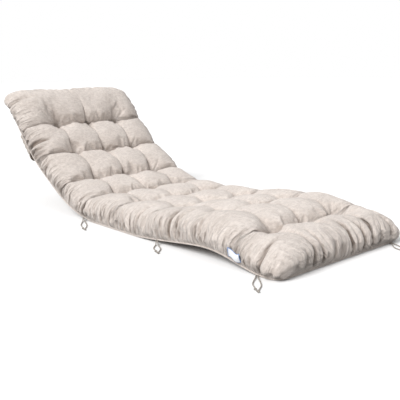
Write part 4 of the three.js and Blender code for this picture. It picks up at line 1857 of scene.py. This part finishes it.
@dataclass
class Ties:
    """The pairs of cord strands that come out of the seam, each with its stopper knot."""

    form: PadForm
    cord_radius: float = 0.0016
    knot_radius: float = 0.0036
    seat_gap: float = 0.0003
    exit_stub: float = 0.005
    strand_apart: float = 0.006
    route_points: int = 40
    fine_points: int = 120
    strand_sides: int = 18
    twists: float = 165.0
    yarns: int = 3
    yarn_groove: float = 0.28
    knot_sides: int = 10
    knot_marks: int = 44
    knot_yarn: float = 0.78
    knot_size: float = 0.30
    knot_turn: tuple[float, float] = (0.35, 0.15)
    knot_rise: float = 1.1
    knot_clearance: float = 0.0001
    knot_least_height: float = 0.0002
    routes: tuple[TieRoute, ...] = (
        TieRoute("tie_back", 0.683, -0.260, (-0.51, -0.86), 0.138),
        TieRoute("tie_seat", 1.092, -0.260, (-0.61, -0.79), 0.096),
        TieRoute("tie_foot", 1.492, -0.260, (-0.73, -0.68), 0.108),
        TieRoute("tie_back_far", 0.683, 0.260, (0.51, -0.86), 0.138),
        TieRoute("tie_seat_far", 1.092, 0.260, (0.61, -0.79), 0.096),
        TieRoute("tie_foot_far", 1.553, 0.222, (-0.55, -0.84), 0.090),
    )
    bows: tuple[tuple[float, float, float], ...] = (
        (0.20, 0.80, 0.0014),
        (0.45, 1.60, 0.0003),
        (0.65, 1.80, 0.0003),
        (0.85, 1.10, 0.0003),
        (1.00, 0.75, 0.0003),
    )

    def route(self, tie: TieRoute, side: int) -> Array:
        """Points that a strand goes through.

        Args:
            tie: The tie.
            side: 1 for the strand that ends last, -1 for its twin.

        Returns:
            The points, from the seam to the knot.
        """
        heading = np.array([*tie.heading, 0.0]) / np.hypot(*tie.heading)
        sideways = np.array([-heading[1], heading[0], 0.0])
        at_foot = tie.along == self.form.wave.length
        outwards = np.array([0.0, -1.0, 0.0]) if at_foot else np.array([np.sign(tie.across), 0.0, 0.0])
        seamwards = np.array([-outwards[1], outwards[0], 0.0])
        place = (tie.along, tie.across, self.form.seam_edge / 2)
        edge = self.form.wave.place(*map(np.array, place))
        leaving = edge + outwards * self.seat_gap + seamwards * side * self.strand_apart * 0.5
        long = tie.long if side > 0 else tie.long - 3 * self.knot_radius
        stub = leaving + outwards * self.exit_stub
        points = [leaving, stub]
        for gone, bow, lift in self.bows:
            point = stub + heading * (long - self.exit_stub) * gone
            point = point + sideways * side * (bow - 0.5) * self.strand_apart
            point[2] = self.cord_radius + lift
            points.append(point)
        return np.array(points)

    def knot_path(self, centre: Array, forward: Array) -> Array:
        """Centreline of an overhand knot pulled small, with a short tail ahead of it.

        Args:
            centre: Middle of the knot.
            forward: Direction that the strand comes along.

        Returns:
            Points of the centreline.
        """
        turn = np.linspace(self.knot_turn[0], 2 * np.pi - self.knot_turn[1], self.knot_marks)
        size = self.knot_radius * self.knot_size
        loops = np.stack([np.sin(turn) + 2 * np.sin(2 * turn), np.cos(turn) - 2 * np.cos(2 * turn),
                          -self.knot_rise * np.sin(3 * turn)], axis=1) * size
        side = np.cross((0.0, 0.0, 1.0), forward)
        basis = np.stack([forward, side, np.array([0.0, 0.0, 1.0])])
        return centre + loops @ basis

    def build(self, finishes: Finishes) -> list[bpy.types.Object]:
        """Build every strand with its knot.

        Args:
            finishes: The materials.

        Returns:
            The strands.
        """
        strands = []
        for tie in self.routes:
            for side, letter in ((1, "a"), (-1, "b")):
                strands.append(self.build_strand(tie, side, letter, finishes))
            log.info("%s: two strands of %.0f mm", tie.name, tie.long * 1000)
        return strands

    def build_strand(self, tie: TieRoute, side: int, letter: str, finishes: Finishes) -> bpy.types.Object:
        """Build one strand and its knot.

        Args:
            tie: The tie.
            side: 1 or -1, as in route.
            letter: Letter of the strand in its name.
            finishes: The materials.

        Returns:
            The strand.
        """
        path = smooth_route(self.route(tie, side), self.route_points)
        node = f"{tie.name}_{letter}"
        fine = smooth_route(path, self.fine_points)
        radii = np.full(len(fine), self.cord_radius)
        points, faces = tube_points(fine, radii, self.strand_sides, self.twists, self.yarns, self.yarn_groove)
        strand = MeshPiece(f"{node}_strand", points, faces, Slot.CORD, (node,)).make(finishes.cord)
        self.lay_yarn(strand.data, self.strand_sides, fine)
        forward = path[-1] - path[-2]
        forward = forward / np.linalg.norm(forward)
        centre = path[-1] + forward * (self.knot_radius + self.seat_gap)
        centre[2] = self.knot_radius + self.knot_clearance
        line = self.knot_path(centre, forward)
        radii = np.full(len(line), self.cord_radius * self.knot_yarn)
        points, faces = tube_points(line, radii, self.knot_sides)
        points[:, 2] = np.maximum(points[:, 2], self.knot_least_height)
        stopper = MeshPiece(f"{node}_stopper", points, faces, Slot.CORD, (f"{node}_knot",))
        knot = stopper.make(finishes.cord)
        self.lay_yarn(knot.data, self.knot_sides, line)
        return strand

    def lay_yarn(self, mesh: bpy.types.Mesh, sides: int, path: Array) -> None:
        """Give a strand the lengths of its yarn, round and along it.

        Args:
            mesh: The strand's mesh.
            sides: Points in each ring.
            path: Its centreline.
        """
        gone = lengths_along(path)
        girth = 2 * np.pi * self.cord_radius
        i, j = np.meshgrid(np.arange(len(path) - 1), np.arange(sides), indexing="ij")
        around = (girth * j / sides, girth * (j + 1) / sides)
        add_cloth_map(mesh, quad_corners(around, (gone[i], gone[i + 1])))


@dataclass(frozen=True)
class PhotoCamera:
    """The camera at the photograph's viewpoint, which the wave and width were fitted with."""

    place: tuple[float, float, float] = (-1.2939, -1.6040, 0.4872)
    yaw: float = 41.37
    pitch: float = 11.88
    roll: float = -0.72
    focal_pixels: float = 607.0
    image_pixels: float = 400.0
    sensor: float = 36.0

    def build(self) -> bpy.types.Object:
        """Make the camera and put it to use.

        Returns:
            The camera.
        """
        yaw, pitch, roll = (math.radians(a) for a in (self.yaw, self.pitch, self.roll))
        forward = Vector((math.sin(yaw) * math.cos(pitch), math.cos(yaw) * math.cos(pitch), -math.sin(pitch)))
        level = Vector((math.cos(yaw), -math.sin(yaw), 0.0))
        upright = level.cross(forward)
        right = level * math.cos(roll) + upright * math.sin(roll)
        up = upright * math.cos(roll) - level * math.sin(roll)
        data = bpy.data.cameras.new("photo_camera")
        data.sensor_width = self.sensor
        data.lens = self.focal_pixels * self.sensor / self.image_pixels
        camera = bpy.data.objects.new("photo_camera", data)
        bpy.context.scene.collection.objects.link(camera)
        turned = Matrix((right, up, -forward)).transposed().to_4x4()
        camera.matrix_world = Matrix.Translation(self.place) @ turned
        bpy.context.scene.camera = camera
        return camera


@dataclass
class Studio:
    """Pale floor, pale surroundings and one wide soft lamp.

    The floor and the surroundings look white to the camera, and pass less light on to the pad.
    """

    floor_size: float = 60.0
    floor_drop: float = 0.0004
    floor_lit: float = 0.45
    floor_seen: float = 0.95
    floor_roughness: float = 0.95
    surround_lit: float = 0.64
    surround_seen: float = 1.0
    overhead: float = 2.85
    overhead_spread: float = 34.0
    overhead_travel: tuple[float, float, float] = (0.74, 0.04, -0.67)

    def build(self) -> None:
        """Make the floor, the surroundings and the lamp."""
        scene = bpy.context.scene
        scene.view_settings.view_transform = "Standard"
        self.lay_floor()
        world = bpy.data.worlds.new("studio_surround")
        world.use_nodes = True
        backdrop = world.node_tree.nodes["Background"]
        backdrop.inputs["Color"].default_value = (1.0, 1.0, 1.0, 1.0)
        strength = backdrop.inputs["Strength"]
        self.light_or_seen(world.node_tree, self.surround_lit, self.surround_seen, strength)
        scene.world = world
        sky = bpy.data.lights.new("overhead", "SUN")
        sky.energy = self.overhead
        sky.angle = math.radians(self.overhead_spread)
        overhead = bpy.data.objects.new("overhead", sky)
        overhead.rotation_euler = Vector(self.overhead_travel).to_track_quat("-Z", "Y").to_euler()
        scene.collection.objects.link(overhead)

    def lay_floor(self) -> None:
        """Make the wide pale floor that the pad lies on."""
        half = self.floor_size / 2
        corners = [(x * half, y * half, -self.floor_drop) for x, y in ((-1, -1), (1, -1), (1, 1), (-1, 1))]
        mesh = bpy.data.meshes.new("studio_floor")
        mesh.from_pydata(corners, [], [[0, 1, 2, 3]])
        floor = bpy.data.objects.new("studio_floor", mesh)
        bpy.context.scene.collection.objects.link(floor)
        paint = bpy.data.materials.new("floor_paint")
        paint.use_nodes = True
        shader = paint.node_tree.nodes["Principled BSDF"]
        self.light_or_seen(paint.node_tree, self.floor_lit, self.floor_seen, shader.inputs["Base Color"])
        shader.inputs["Roughness"].default_value = self.floor_roughness
        shader.inputs["Specular IOR Level"].default_value = FLOOR_SHINE
        mesh.materials.append(paint)

    @staticmethod
    def light_or_seen(tree: bpy.types.NodeTree, lit: float, seen: float,
                      target: bpy.types.NodeSocket) -> None:
        """Give a socket one value for the light it passes on and another for what the camera sees.

        Args:
            tree: Nodes that the socket belongs to.
            lit: Value for light on its way to other things.
            seen: Value for the camera.
            target: The socket.
        """
        sheet = NodeSheet(tree)
        camera = sheet.add("ShaderNodeLightPath").outputs["Is Camera Ray"]
        tree.links.new(sheet.add("ShaderNodeMix", {0: camera, 2: lit, 3: seen}).outputs[0], target)


def main() -> None:
    """Build the camera, the ties, the pad and its pieces, and the studio, in that order."""
    logging.basicConfig(level=logging.INFO, format="%(message)s")
    form = PadForm()
    PhotoCamera().build()
    finishes = Finishes.build()
    Ties(form).build(finishes)
    pad = PadCushion(form)
    cushion = pad.build(finishes)
    SeamWelt(form).build(finishes)
    BackBand(form).build(finishes, cushion)
    LabelTab(form).build(finishes, pad)
    tufts = TuftStitches(form).build(finishes, pad)
    log.info("tuft stitches: %d", len(tufts))
    Studio().build()


if __name__ == "__main__":
    main()
